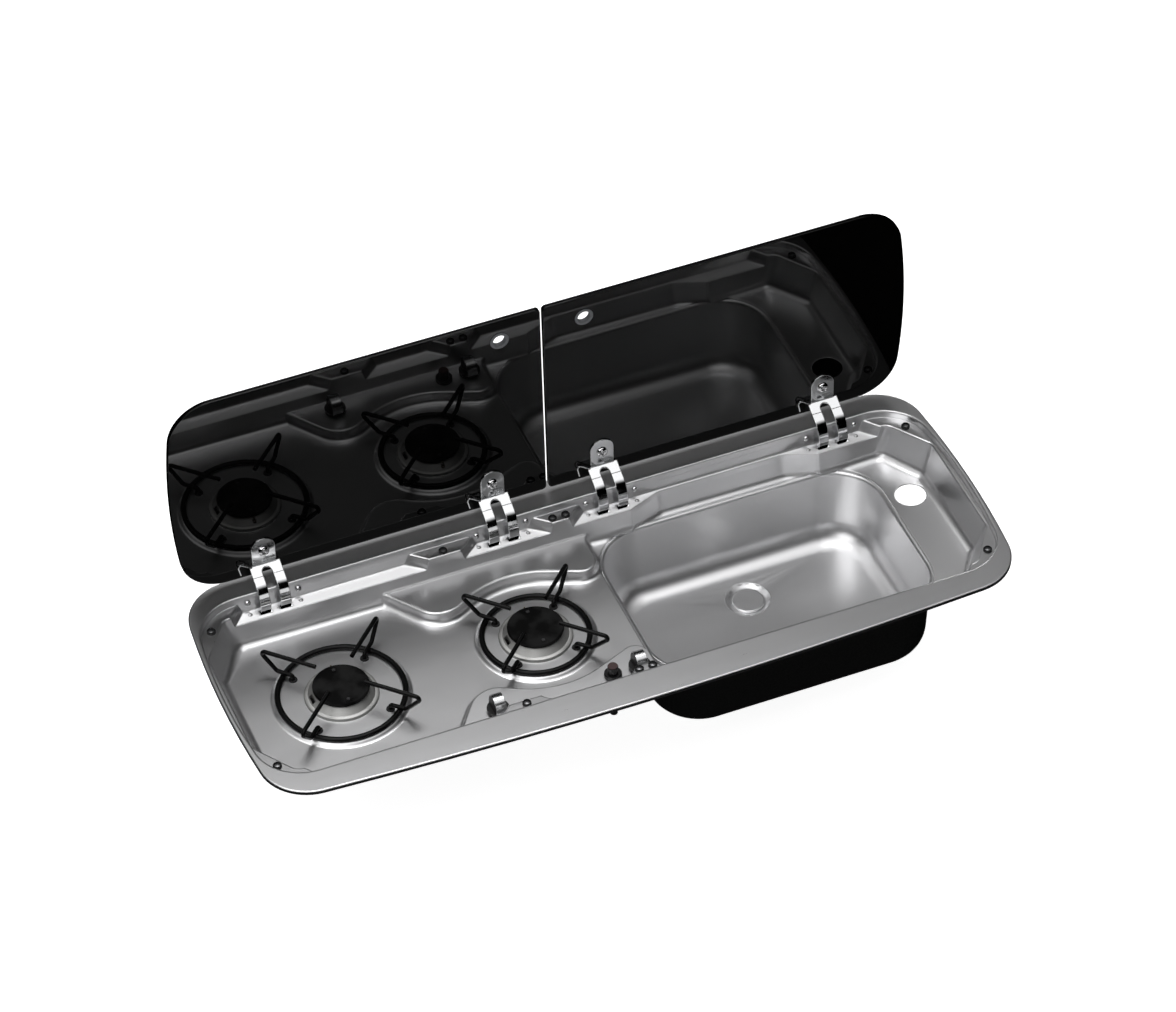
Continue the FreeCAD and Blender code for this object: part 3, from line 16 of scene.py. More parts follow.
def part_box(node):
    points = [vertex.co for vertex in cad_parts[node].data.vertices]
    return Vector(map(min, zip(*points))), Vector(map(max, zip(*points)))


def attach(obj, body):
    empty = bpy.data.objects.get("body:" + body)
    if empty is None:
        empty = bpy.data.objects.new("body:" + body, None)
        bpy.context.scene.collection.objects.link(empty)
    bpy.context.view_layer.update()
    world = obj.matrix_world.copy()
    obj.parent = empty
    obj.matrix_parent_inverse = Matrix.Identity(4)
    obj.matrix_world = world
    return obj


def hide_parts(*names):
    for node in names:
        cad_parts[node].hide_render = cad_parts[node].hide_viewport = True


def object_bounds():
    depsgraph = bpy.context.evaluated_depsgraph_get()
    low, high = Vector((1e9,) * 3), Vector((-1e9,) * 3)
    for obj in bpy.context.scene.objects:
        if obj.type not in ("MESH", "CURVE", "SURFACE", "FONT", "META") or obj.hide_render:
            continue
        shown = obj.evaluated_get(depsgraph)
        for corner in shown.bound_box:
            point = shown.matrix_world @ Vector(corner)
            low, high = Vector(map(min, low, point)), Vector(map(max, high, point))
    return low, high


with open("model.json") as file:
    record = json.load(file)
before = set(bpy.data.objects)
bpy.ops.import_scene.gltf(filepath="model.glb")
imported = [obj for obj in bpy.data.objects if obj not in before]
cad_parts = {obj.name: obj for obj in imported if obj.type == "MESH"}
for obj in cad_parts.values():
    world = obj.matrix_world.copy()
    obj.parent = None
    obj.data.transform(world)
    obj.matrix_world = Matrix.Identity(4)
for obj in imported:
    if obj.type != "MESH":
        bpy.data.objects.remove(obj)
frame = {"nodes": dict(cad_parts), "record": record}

cad_low, cad_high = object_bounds()
nodes = frame["nodes"]
MM = 0.001
print("CAD nodes:", len(nodes), "lowest corner:", tuple(cad_low), "highest corner:", tuple(cad_high))

# %% [markdown]
# ## Colours
#
# A colour read from a picture is in sRGB, which spreads the dark tones. A shader works with light,
# so each hex colour is turned into linear values once, by one function that all finishes share.

# %% From sRGB hex to linear
def linear(hex_colour):
    """Each sRGB value v becomes v / 12.92 when small, otherwise ((v + 0.055) / 1.055) to the power 2.4."""
    srgb = np.array([int(hex_colour[i:i + 2], 16) for i in (0, 2, 4)]) / 255.0
    light = np.where(srgb <= 0.04045, srgb / 12.92, ((srgb + 0.055) / 1.055) ** 2.4)
    return (*light.tolist(), 1.0)


print("mid grey 808080 is", linear("808080")[0], "in light")

# %% [markdown]
# ## Nodes
#
# Every finish and every modifier tree below is a handful of nodes. One helper adds a node, sets what
# it is told to set and draws its links, so that a finish reads as a short list of steps.

# %% One helper for every node
def add(tree, kind, settings=(), links=()):
    """Adds a node of this kind. A setting names an input, by name or number, or else a property;
    a link names an input and gives the output that feeds it."""
    node = tree.nodes.new(kind)
    for name, value in dict(settings).items():
        socket = node.inputs[name] if isinstance(name, int) else node.inputs.get(name)
        if socket is None:
            setattr(node, name, value)
        else:
            socket.default_value = value
    for name, source in dict(links).items():
        tree.links.new(source, node.inputs[name])
    return node


def start_finish(name, colour, metallic, roughness):
    """A new material with one Principled shader. Returns the material, its tree, the shader and the Object
    coordinates."""
    finish = bpy.data.materials.new(name)
    finish.use_nodes = True
    tree = finish.node_tree
    tree.nodes.clear()
    shader = add(tree, "ShaderNodeBsdfPrincipled",
                 {"Base Color": linear(colour), "Metallic": metallic, "Roughness": roughness})
    add(tree, "ShaderNodeOutputMaterial", links={"Surface": shader.outputs["BSDF"]})
    place = add(tree, "ShaderNodeTexCoord").outputs["Object"]
    finish.diffuse_color = linear(colour)
    return finish, tree, shader, place


print("node helper ready")

# %% [markdown]
# ## Noise and ranges
#
# Two steps come back in almost every finish: a noise whose cells have a real size, and a range that turns
# its values into a roughness or a height. Each gets a short name of its own.

# %% Noise of a real size, and a change of range
def noise(tree, place, size, detail):
    """A noise whose cells are about size wide; detail counts the finer layers on top of it."""
    cells = add(tree, "ShaderNodeTexNoise", {"Scale": 1 / size, "Detail": detail}, {"Vector": place})
    return cells.outputs["Fac"]


def remap(tree, value, start, stop, low, high):
    """A value at start becomes low and a value at stop becomes high, in a straight line that ends there."""
    line = add(tree, "ShaderNodeMapRange",
               {"From Min": start, "From Max": stop, "To Min": low, "To Max": high}, {"Value": value})
    return line.outputs["Result"]


print("noise and range helpers ready")

# %% [markdown]
# ## Satin stainless steel
#
# The deck and the bowl are pressed from 1 mm stainless sheet with a fine satin finish. The eye sees a
# neutral grey metal with soft reflections and a trace of rolling grain along X. The grain is a noise
# stretched along X that changes the roughness. The real grain is about 0.1 mm wide; it is drawn at 1 mm
# here, as fine as the render can show. Deep drawing stretches the skin of the sheet and dulls it, so the
# roughness grows a little with depth.

# %% Satin stainless steel: grain and dullness
satin_steel, tree, shader, place = start_finish("stainless_sheet_satin_pressed", "EEEEEF", 1.0, 0.29)
grain_length, grain_width, gloss_low, gloss_high = 40 * MM, 1.0 * MM, 0.26, 0.32
drawn_start, drawn_full, drawn_dullness = -6 * MM, -28 * MM, 0.05
stretched = add(tree, "ShaderNodeMapping", {"Scale": (1 / grain_length, 1 / grain_width, 1 / grain_width)},
                {"Vector": place})
gloss = remap(tree, noise(tree, stretched.outputs["Vector"], 1.0, 2.0), 0.0, 1.0, gloss_low, gloss_high)
axes = add(tree, "ShaderNodeSeparateXYZ", links={0: place}).outputs
drawn = remap(tree, axes["Z"], drawn_start, drawn_full, 0.0, drawn_dullness)
matt = add(tree, "ShaderNodeMath", {"operation": "ADD"}, {0: gloss, 1: drawn})
tree.links.new(matt.outputs["Value"], shader.inputs["Roughness"])
print("made", satin_steel.name)

# %% [markdown]
# ## Bends, waves and the hinge shoulder
#
# Sheet can't fold sharply, so a bevel of a few millimetres rounds the shading at every crease. The bends at
# the foot of the rear walls were pressed with a larger radius, so the bevel is wider there. A slow waviness
# of hand size stays where the press pulled the sheet.
#
# The shoulder that carries the hinges falls a little towards the middle, so that spilt water drains. The
# CAD model keeps it level; its slope is drawn as a bump that rises with the distance from the middle.

# %% Satin stainless steel: bends, waves and slope
bend_radius, rear_bend_radius, press_wave = 2.0 * MM, 4.4 * MM, 45 * MM
rear_start, rear_full, foot_start, foot_full = 55 * MM, 80 * MM, -24 * MM, -30 * MM
rear_bend = remap(tree, axes["Y"], rear_start, rear_full, bend_radius, rear_bend_radius)
at_foot = remap(tree, axes["Z"], foot_start, foot_full, 0.0, 1.0)
bend = add(tree, "ShaderNodeMix", {"data_type": "FLOAT", 2: bend_radius}, {0: at_foot, 3: rear_bend})
soft_bend = add(tree, "ShaderNodeBevel", {"samples": 6}, {"Radius": bend.outputs[0]})
ripple = add(tree, "ShaderNodeBump", {"Strength": 0.15, "Distance": 0.4 * MM},
             {"Height": noise(tree, place, press_wave, 1.0), "Normal": soft_bend.outputs["Normal"]})
shoulder_inner, shoulder_outer, shoulder_fall = 122.5 * MM, 139.9 * MM, np.radians(16)
shoulder_level, shoulder_reach = -18 * MM, 6 * MM
shoulder_rise = (shoulder_outer - shoulder_inner) * np.tan(shoulder_fall)
from_middle = add(tree, "ShaderNodeMath", {"operation": "ABSOLUTE"}, {0: axes["Y"]})
shoulder = remap(tree, from_middle.outputs["Value"], shoulder_inner, shoulder_outer, 0.0, shoulder_rise)
drain_slope = add(tree, "ShaderNodeBump", {"Strength": 1.0, "Distance": 1.0},
                  {"Height": shoulder, "Normal": ripple.outputs["Normal"]})
on_shoulder = add(tree, "ShaderNodeMath", {"operation": "COMPARE", 1: shoulder_level, 2: shoulder_reach},
                  {0: axes["Z"]})
formed = add(tree, "ShaderNodeMix", {"data_type": "VECTOR"}, {"Factor": on_shoulder.outputs["Value"],
             4: ripple.outputs["Normal"], 5: drain_slope.outputs["Normal"]})
tree.links.new(formed.outputs[1], shader.inputs["Normal"])
print("formed", satin_steel.name)

# %% [markdown]
# ## Black glass
#
# The lids are toughened glass with black enamel fired onto the back. The eye sees almost no colour, only
# a clear mirror image of the deck, and a thin line of light along the polished rim. A very slow waviness
# from the toughening oven keeps the image from being perfect, and faint dust is a little rougher than the
# glass.

# %% Black glass
black_glass, tree, shader, place = start_finish("toughened_glass_black_fired", "030303", 0.0, 0.02)
glass_ior, oven_wave, dust_size, polished_rim = 1.46, 120 * MM, 6 * MM, 1.8 * MM
shader.inputs["IOR"].default_value = glass_ior
rim = add(tree, "ShaderNodeBevel", {"samples": 8, "Radius": polished_rim})
roll = add(tree, "ShaderNodeBump", {"Strength": 0.05, "Distance": 0.2 * MM},
           {"Height": noise(tree, place, oven_wave, 0.0), "Normal": rim.outputs["Normal"]})
haze = remap(tree, noise(tree, place, dust_size, 3.0), 0.4, 0.8, 0.01, 0.04)
tree.links.new(roll.outputs["Normal"], shader.inputs["Normal"])
tree.links.new(haze, shader.inputs["Roughness"])
print("made", black_glass.name)

# %% [markdown]
# ## The other finishes
#
# The smaller pieces need quieter finishes: each is a base colour, a noise of a real grain size that
# varies the roughness, and the same noise as a slight bump. They share one recipe, so one line for each
# is enough: what the maker would call it, colour, metal or not, roughness from and to, grain in
# millimetres and bump depth in millimetres. Enamel and coat shine less than the usual half.

# %% A recipe for grained finishes
def grained(name, colour, metallic, rough_low, rough_high, grain_mm, depth_mm, shine=0.5, rolled_mm=0.0):
    """Noise whose cells are grain_mm wide sets the roughness between two values and lifts the surface.
    Where the edges of the real piece are rolled, a bevel of rolled_mm rounds their shading."""
    finish, tree, shader, place = start_finish(name, colour, metallic, rough_high)
    grain = noise(tree, place, grain_mm * MM, 3.0)
    gloss = remap(tree, grain, 0.3, 0.7, rough_low, rough_high)
    lift = add(tree, "ShaderNodeBump", {"Strength": 0.5, "Distance": depth_mm * MM}, {"Height": grain})
    tree.links.new(gloss, shader.inputs["Roughness"])
    tree.links.new(lift.outputs["Normal"], shader.inputs["Normal"])
    shader.inputs["Specular IOR Level"].default_value = shine
    if rolled_mm:
        rolled = add(tree, "ShaderNodeBevel", {"samples": 6, "Radius": rolled_mm * MM})
        tree.links.new(rolled.outputs["Normal"], lift.inputs["Normal"])
    return finish


# chrome on pressed steel: nearly a mirror, with a trace of polishing haze
bright_chrome = grained("chrome_plated_steel_bright", "E2E3E4", 1.0, 0.06, 0.14, 4.0, 0.01)
# chrome on turned screw heads, polished before plating: a clear small mirror
screw_chrome = grained("chrome_plated_screw_polished", "F4F4F5", 1.0, 0.03, 0.07, 3.0, 0.005)
# the same chrome on the hinge leaves, whose edges were rolled over by the press
hinge_chrome = grained("chrome_plated_hinge_rolled", "E6E7E8", 1.0, 0.05, 0.12, 4.0, 0.01, rolled_mm=1.3)
# zinc on steel: duller, mottled by the plating crystals
zinc_steel = grained("zinc_plated_steel", "BFC0C1", 1.0, 0.28, 0.42, 1.5, 0.02)
# chrome on a moulded knob, brushed satin so that it glows instead of mirroring
satin_chrome = grained("chrome_plated_knob_satin", "D0D1D2", 1.0, 0.20, 0.28, 0.8, 0.01)
# die-cast aluminium: pale, dull and slightly sandy
cast_aluminium = grained("aluminium_die_cast", "C2C2C0", 1.0, 0.46, 0.60, 0.8, 0.05)
# machined brass: yellow metal, turned smooth
plain_brass = grained("brass_machined", "C9A14E", 1.0, 0.24, 0.34, 1.0, 0.01)
# glass enamel fired on wire and caps: deep black with a soft broken shine
black_enamel = grained("vitreous_enamel_black_fired", "040404", 0.0, 0.28, 0.42, 1.2, 0.05, 0.18)
# sprayed sound-deadening coat under the bowl: dull black with an orange-peel skin
black_coat = grained("sound_coat_black_sprayed", "070707", 0.0, 0.50, 0.68, 2.5, 0.15, 0.25)
# moulded rubber: dull, slightly greyed by its skin
black_rubber = grained("rubber_black_moulded", "121213", 0.0, 0.50, 0.68, 1.0, 0.03)
# moulded nylon of the knobs' dark flanks and the igniter body
black_plastic = grained("nylon_black_moulded", "101011", 0.0, 0.32, 0.48, 0.7, 0.03)
# phosphated spring clamps that grip the glass: nearly black metal
dark_clamp = grained("steel_black_phosphated", "2B2B2C", 1.0, 0.34, 0.50, 1.2, 0.02)
# soft grey liner of the finger holes
grey_grommet = grained("elastomer_grey_moulded", "606265", 0.0, 0.42, 0.58, 0.8, 0.02)
# fired insulator of the sparking electrodes: once cream white, now browned by the flame
white_ceramic = grained("alumina_white_flame_browned", "6B655B", 0.0, 0.30, 0.48, 0.8, 0.02)
# rivet eyelets in the middle of the rubber bumpers: steel gone dull and grey
dull_eyelet = grained("steel_eyelet_dulled", "8E8F91", 1.0, 0.30, 0.45, 1.0, 0.02)
# screws in the burner caps, sprayed over with the enamel: black with a little more shine than the cap
black_screw = grained("steel_screw_enamelled", "3A3A3B", 0.0, 0.22, 0.34, 0.8, 0.02, 0.5)
# worn red cap of the igniter button
red_plastic = grained("abs_dull_red_moulded", "463231", 0.0, 0.40, 0.55, 0.8, 0.03)
print("made", len(bpy.data.materials), "finishes")

# %% [markdown]
# ## Burner caps
#
# The caps carry the same enamel, but the flame has worked on it: the eye sees cloudy patches, some a deep
# black and some gone grey and dull. A slow noise of patch size mixes the two tones and roughens the grey
# ones, and a fine noise gives the skin of the enamel.

# %% Heat-clouded enamel of the burner caps
clouded_enamel, tree, shader, place = start_finish("vitreous_enamel_heat_clouded", "0B0B0B", 0.0, 0.45)
patch, skin_grain, cap_shine = 24 * MM, 1.0 * MM, 0.12
cloud = remap(tree, noise(tree, place, patch, 3.0), 0.44, 0.60, 0.0, 1.0)
tone = add(tree, "ShaderNodeMix", {"data_type": "RGBA", 6: linear("020202"), 7: linear("1B1B1B")},
           {0: cloud})
dull = remap(tree, cloud, 0.0, 1.0, 0.38, 0.58)
peel = add(tree, "ShaderNodeBump", {"Strength": 0.4, "Distance": 0.05 * MM},
           {"Height": noise(tree, place, skin_grain, 2.0)})
tree.links.new(tone.outputs[2], shader.inputs["Base Color"])
tree.links.new(dull, shader.inputs["Roughness"])
tree.links.new(peel.outputs["Normal"], shader.inputs["Normal"])
shader.inputs["Specular IOR Level"].default_value = cap_shine
print("made", clouded_enamel.name)

# %% [markdown]
# ## Finishes on the CAD pieces
#
# The record of the part names a material slot for every CAD node. One table from slot to finish
# dresses them all, so a piece can't be missed: the loop stops if a slot has no finish. A few pieces were
# worked or have weathered differently from the rest of their slot, so they get finishes of their own. The
# flame sensors get black enamel as painted shade, so that the slots they stand in read dark.

# %% Dress the CAD nodes
finish_of_slot = {
    "satin_steel": satin_steel, "black_coat": black_coat, "black_rubber": black_rubber,
    "black_glass": black_glass, "grey_grommet": grey_grommet, "bright_chrome": bright_chrome,
    "zinc_steel": zinc_steel, "dark_clamp": dark_clamp, "black_enamel": black_enamel,
    "cast_aluminium": cast_aluminium, "white_ceramic": white_ceramic, "plain_brass": plain_brass,
    "satin_chrome": satin_chrome, "black_plastic": black_plastic, "red_plastic": red_plastic,
}
# the flame sensors get black enamel as painted shade, so that the slots they stand in read dark
finish_of_node = {"bumper_eyelets": dull_eyelet, "cap_screws": black_screw, "flame_sensors": black_enamel,
                  "burner_cap_left": clouded_enamel, "burner_cap_right": clouded_enamel}
finish_of_node.update({f"hinge_leaf_{k}": hinge_chrome for k in (1, 2, 3, 4)})
for part in frame["record"]["subparts"]:
    mesh = nodes[part["node"]].data
    mesh.materials.clear()
    mesh.materials.append(finish_of_node.get(part["node"], finish_of_slot[part["material_slot"]]))
print("dressed", len(nodes), "nodes")

# %% [markdown]
# ## Soft shading
#
# A CAD mesh arrives as loose flat triangles, which would show every facet of a bend. A small geometry
# tree joins the triangles and shades them smooth, but keeps edges sharper than a set angle crisp. The
# Weighted Normal modifier then lets the large flat areas decide, so a plate stays flat up to its bends.

# %% Join and smooth the CAD meshes
def smoothing_tree(keep_angle, same_point):
    """Merge points closer than same_point, shade all faces smooth, then mark the edges that turn by more
    than keep_angle."""
    tree = bpy.data.node_groups.new("smooth_pressed_forms", "GeometryNodeTree")
    tree.interface.new_socket("Geometry", in_out="INPUT", socket_type="NodeSocketGeometry")
    tree.interface.new_socket("Geometry", in_out="OUTPUT", socket_type="NodeSocketGeometry")
    start = add(tree, "NodeGroupInput").outputs[0]
    joined = add(tree, "GeometryNodeMergeByDistance", {"Distance": same_point}, {"Geometry": start})
    plain = add(tree, "GeometryNodeRemoveAttribute", {"Name": "custom_normal"},
                {"Geometry": joined.outputs[0]})
    smooth = add(tree, "GeometryNodeSetShadeSmooth", {"domain": "FACE", "Shade Smooth": True},
                 {"Geometry": plain.outputs[0]})
    turn = add(tree, "GeometryNodeInputMeshEdgeAngle").outputs[0]
    corner = add(tree, "FunctionNodeCompare", {"operation": "GREATER_THAN", "B": keep_angle}, {"A": turn})
    crisp = add(tree, "GeometryNodeSetShadeSmooth", {"domain": "EDGE", "Shade Smooth": False},
                {"Geometry": smooth.outputs[0], "Selection": corner.outputs[0]})
    add(tree, "NodeGroupOutput", links={0: crisp.outputs[0]})
    return tree


crisp_angle, same_point, flat_weight = np.radians(32), 0.002 * MM, 95
smooth_forms = smoothing_tree(crisp_angle, same_point)
for piece in nodes.values():
    joiner = piece.modifiers.new("join_and_smooth", "NODES")
    joiner.node_group = smooth_forms
    flats = piece.modifiers.new("flats_decide", "WEIGHTED_NORMAL")
    flats.keep_sharp = True
    flats.weight = flat_weight
print("smoothed", len(nodes), "nodes")

# %% [markdown]
# ## Eased edges
#
# No real edge is perfectly sharp: the glass is ground, the hinge sheet is tumbled and the knob bands are
# polished. A narrow Bevel right after the join gives each of these edges a facet that catches a thin line
# of light. The widths are usual ones for such work, in millimetres; Blender makes a facet narrower where
# the short edges along a curve leave it no room.

# %% Ease the edges of glass, hinges and controls
eased_mm = {"lid_glass": 1.2, "hinge_leaf": 0.35, "knob": 0.4, "finger_grommet": 0.5, "igniter": 0.4,
            "burner_cap": 0.8}
eased_angle, after_join = np.radians(50), 1
for name, piece in nodes.items():
    for start, width in eased_mm.items():
        if name.startswith(start):
            eased = piece.modifiers.new("eased_edges", "BEVEL")
            eased.width = width * MM
            eased.segments = 2
            eased.limit_method = "ANGLE"
            eased.angle_limit = eased_angle
            piece.modifiers.move(len(piece.modifiers) - 1, after_join)
print("eased", sum(1 for piece in nodes.values() if "eased_edges" in piece.modifiers), "pieces")

# %% [markdown]
# ## Surfaces from grids
#
# The pieces below are small turned or bent parts. Each is a grid of points that a formula gives at once,
# and one function turns any such grid into a closed skin: neighbours in the grid become four-sided faces,
# the grid joins up around the piece, and each open end is closed by a fan to its middle.

# %% A skin over a grid of points
def skin(name, grids, finish, body, closed_loop=False):
    """Each grid is rings of points. Ring k is joined to ring k + 1, the last point of a ring to its first.
    The first and last rings are joined to each other when the loop is closed, and otherwise each is filled
    by triangles to the mean of its points."""
    points, faces, base = [], [], 0
    for grid in grids:
        rings, around = grid.shape[:2]
        index = base + np.arange(rings * around).reshape(rings, around)
        if closed_loop:
            index = np.concatenate([index, index[:1]])
        beside = np.roll(index, -1, axis=1)
        faces += np.stack([index[:-1], beside[:-1], beside[1:], index[1:]], axis=-1).reshape(-1, 4).tolist()
        points.append(grid.reshape(-1, 3))
        base += rings * around
        if not closed_loop:
            faces += np.stack([np.full(around, base), beside[0], index[0]], axis=-1).tolist()
            faces += np.stack([np.full(around, base + 1), index[-1], beside[-1]], axis=-1).tolist()
            points += [grid[0].mean(axis=0)[None], grid[-1].mean(axis=0)[None]]
            base += 2
    mesh = bpy.data.meshes.new(name)
    mesh.from_pydata(np.concatenate(points).tolist(), [], faces)
    mesh.polygons.foreach_set("use_smooth", np.ones(len(mesh.polygons), dtype=bool))
    mesh.set_sharp_from_angle(angle=np.radians(40))
    mesh.materials.append(finish)
    piece = bpy.data.objects.new(name, mesh)
    bpy.context.scene.collection.objects.link(piece)
    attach(piece, body)
    print("made", name, "with", len(faces), "faces")
    return piece


hinge_x = [(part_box(f"hinge_leaf_{k}")[0][0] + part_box(f"hinge_leaf_{k}")[1][0]) / 2 for k in (1, 2, 3, 4)]
lid_hinges = {"left": hinge_x[:2], "right": hinge_x[2:]}
print("hinges at", [round(float(x), 4) for x in hinge_x])

# %% [markdown]
# ## Lid screws
#
# A chromed pan-head screw with a cross recess holds each hinge tab to its lid. It is a turned part, so its
# skin is a profile spun round the screw's axis: shank, flat underside, short edge and a dome. The recess is
# pressed into the dome afterwards, as the header does it: two crossing grooves that fade out towards the
# edge.

# %% Domed screws on the hinge tabs
def smooth_step(low, high, value):
    """Nothing below low, one above high, and the curve 3 t t - 2 t t t between them."""
    part = np.clip((value - low) / (high - low), 0.0, 1.0)
    return part * part * (3 - 2 * part)


def lid_screw(x, seat_y, tip_y, z):
    """The radius and depth along the profile are spun about the line through (x, z) along Y; the dome is an
    ellipse, and each groove of the cross is as deep as its distance from the groove's middle allows."""
    head_r, shank_r, edge, rise, groove, recess = 6.5 * MM, 2.9 * MM, 0.7 * MM, 3.4 * MM, 1.1 * MM, 3.0 * MM
    lean = np.linspace(0, np.pi / 2, 34)[:-1]
    below_dome = [shank_r, shank_r, head_r, head_r]
    radius = np.concatenate([below_dome, head_r * np.cos(lean)])
    depth = np.concatenate([[tip_y, seat_y, seat_y, seat_y - edge], seat_y - edge - rise * np.sin(lean)])
    turn = np.linspace(0, 2 * np.pi, 96, endpoint=False)
    across, upright = radius[:, None] * np.cos(turn), radius[:, None] * np.sin(turn)
    off_groove = np.minimum(np.abs(across + upright), np.abs(across - upright)) / np.sqrt(2)
    fade = 1 - smooth_step(0.45 * head_r, 0.62 * head_r, radius[:, None])
    fade[:len(below_dome)] = 0
    dent = recess * fade * (1 - smooth_step(groove * 0.6, groove * 1.6, off_groove))
    return np.stack([x + across, depth[:, None] + dent, z + upright], axis=-1)


head_thick = 2.5 * MM
for side, places in lid_hinges.items():
    low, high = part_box(f"tab_screws_{side}")
    screws = [lid_screw(x, low[1] + head_thick, high[1], (low[2] + high[2]) / 2) for x in places]
    heads = skin(f"domed_lid_screws_{side}", screws, screw_chrome, f"lid_{side}")
    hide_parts(f"tab_screws_{side}")

# %% [markdown]
# ## Hinge springs
#
# A bent wire beside each hinge pulls the lid the last few degrees in either direction. It leaves the
# bracket at its upper left corner, rises in a small hook and drops behind the flange. Wire is a tube along
# a path: rings of points stand square to a smooth curve through a few bend points.

# %% Spring wires beside the hinges
def bent_wire(bends, radius, rings=60, around=14):
    """The path is a Catmull-Rom curve through the bends; each ring lies in the plane of two directions that
    are square to the path: its cross product with the Y direction, and its cross product with that."""
    ends = np.concatenate([[2 * bends[0] - bends[1]], bends, [2 * bends[-1] - bends[-2]]])
    step = np.linspace(0, len(bends) - 1 - 1e-6, rings)
    k, u = np.floor(step).astype(int), (step % 1)[:, None]
    a, b, c, d = ends[k], ends[k + 1], ends[k + 2], ends[k + 3]
    path = 0.5 * (2 * b + (c - a) * u + (2 * a - 5 * b + 4 * c - d) * u ** 2
                  + (3 * b - a - 3 * c + d) * u ** 3)
    along = np.gradient(path, axis=0)
    along /= np.linalg.norm(along, axis=1, keepdims=True)
    first = np.cross(along, [0.0, 1.0, 0.0])
    first /= np.linalg.norm(first, axis=1, keepdims=True)
    second = np.cross(along, first)
    turn = np.linspace(0, 2 * np.pi, around, endpoint=False)[None, :, None]
    return path[:, None] + radius * (np.cos(turn) * first[:, None] + np.sin(turn) * second[:, None])


spring_bends = np.array([[-15.0, 160.4, 25.0], [-19.5, 159.6, 27.5], [-25.0, 158.8, 32.5],
                         [-29.0, 158.6, 34.5], [-31.0, 158.8, 31.0], [-30.0, 159.4, 25.0],
                         [-28.5, 160.4, 18.0]]) * MM
spring_r = 0.8 * MM
for side, places in lid_hinges.items():
    springs = [bent_wire(spring_bends + [x, 0, 0], spring_r) for x in places]
    skin(f"hinge_springs_{side}", springs, bright_chrome, f"lid_{side}")

# %% [markdown]
# ## Creases of the hinge leaves
#
# Each leg of a hinge leaf has a stiffening crease pressed across it where the flat plate ends. It is a
# straight rib, so it is the same tube as the spring wire, half sunk into the upper face of the leg.

# %% Ribs across the hinge legs
leg_inner, leg_outer = 6.2 * MM, 17.8 * MM
crease_y, crease_z, crease_r = 149.3 * MM, 18.2 * MM, 0.5 * MM
for side, places in lid_hinges.items():
    legs = [(x + way * leg_inner, x + way * leg_outer) for x in places for way in (-1, 1)]
    ribs = [bent_wire(np.array([[start, crease_y, crease_z], [stop, crease_y, crease_z]]), crease_r, rings=2)
            for start, stop in legs]
    skin(f"hinge_creases_{side}", ribs, hinge_chrome, f"lid_{side}")

# %% [markdown]
# ## Screws in the recess wall and weld marks on the shoulder
#
# Two small domed screws beside each hinge hold its bracket behind the wall of the recess, and two spot
# welds under the shoulder hold the bracket's foot. The screws show a bright half moon and a dark one; the
# welds are only shallow swellings in the sheet. Both are domes, so one formula makes them.

# %% Domes of the wall screws and spot welds
def dome(middle, outward, radius, rise):
    """A quarter ellipse from the rim to the top, spun about the outward direction through the middle."""
    first = np.array([1.0, 0.0, 0.0])
    second = np.cross(outward, first)
    lean = np.linspace(0, np.pi / 2, 14)[:-1, None, None]
    turn = np.linspace(0, 2 * np.pi, 40, endpoint=False)[None, :, None]
    spread = radius * np.cos(lean) * (np.cos(turn) * first + np.sin(turn) * second)
    return np.array(middle) + spread + rise * np.sin(lean) * np.array(outward)


low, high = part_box("hinge_wall_screws")
cad_head_r, seat_depth, screw_dome_r, screw_dome_rise = 3.0 * MM, 1.0 * MM, 3.7 * MM, 3.4 * MM
screw_reach = high[0] - hinge_x[3] - cad_head_r
screw_seat_y, screw_z = low[1] + seat_depth, (low[2] + high[2]) / 2
domes = [dome((x + way * screw_reach, screw_seat_y, screw_z), (0, -1, 0), screw_dome_r, screw_dome_rise)
         for x in hinge_x for way in (-1, 1)]
skin("wall_screw_domes", domes, screw_chrome, "base")
weld_r, weld_rise, weld_y = 2.6 * MM, 0.5 * MM, 132.2 * MM
welds = [dome((x + way * screw_reach, weld_y, shoulder_level), (0, 0, 1), weld_r, weld_rise)
         for x in hinge_x for way in (-1, 1)]
skin("spot_weld_marks", welds, satin_steel, "base")

# %% [markdown]
# ## Sooted sensor slots
# The flame sensor stands in a slot at the left of each burner. The slot is dark with shade, and a thin
# black plate lies in it as painted shade, so the eye sees a small black keyhole. The plate is the same
# dome, stretched.

# %% Painted shade plates in the sensor slots
low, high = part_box("flame_sensors")
sensor_r, shade_plate_drop = (high[1] - low[1]) / 2, 0.9 * MM
shade_plate_z, shade_plate_shape = high[2] - shade_plate_drop, np.array([2.7 * MM, 6.2 * MM, 0.4 * MM])
# thin black plates laid in the slots as painted shade, where the slots are only dark with shade
shade_plates = [dome((0, 0, 0), (0, 0, 1), 1.0, 1.0) * shade_plate_shape + [x, (low[1] + high[1]) / 2, shade_plate_z]
           for x in (low[0] + sensor_r, high[0] - sensor_r)]
skin("painted_shade_slot_plates", shade_plates, black_enamel, "base")

# %% [markdown]
# ## Drain rim
#
# The waste fitting sits in a round dish that is pressed into the bowl floor. Its sloping rim is a broad
# bright ring in the photograph. The rim is a profile spun round the drain's axis, a hair above the CAD
# sheet: level at the floor, rounded over the edge, straight down the slope and level again at the seat.

# %% The sloping rim of the drain
def spun_ring(middle, profile, turns=160):
    """Each (radius, level) of the profile becomes a ring about the upright line through the middle; the
    profile comes back to its start, so that the ring is solid."""
    turn = np.linspace(0, 2 * np.pi, turns, endpoint=False)
    radius, level = profile[:, :1], profile[:, 1:]
    return np.stack(np.broadcast_arrays(middle[0] + radius * np.cos(turn), middle[1] + radius * np.sin(turn),
                                        level), axis=-1)


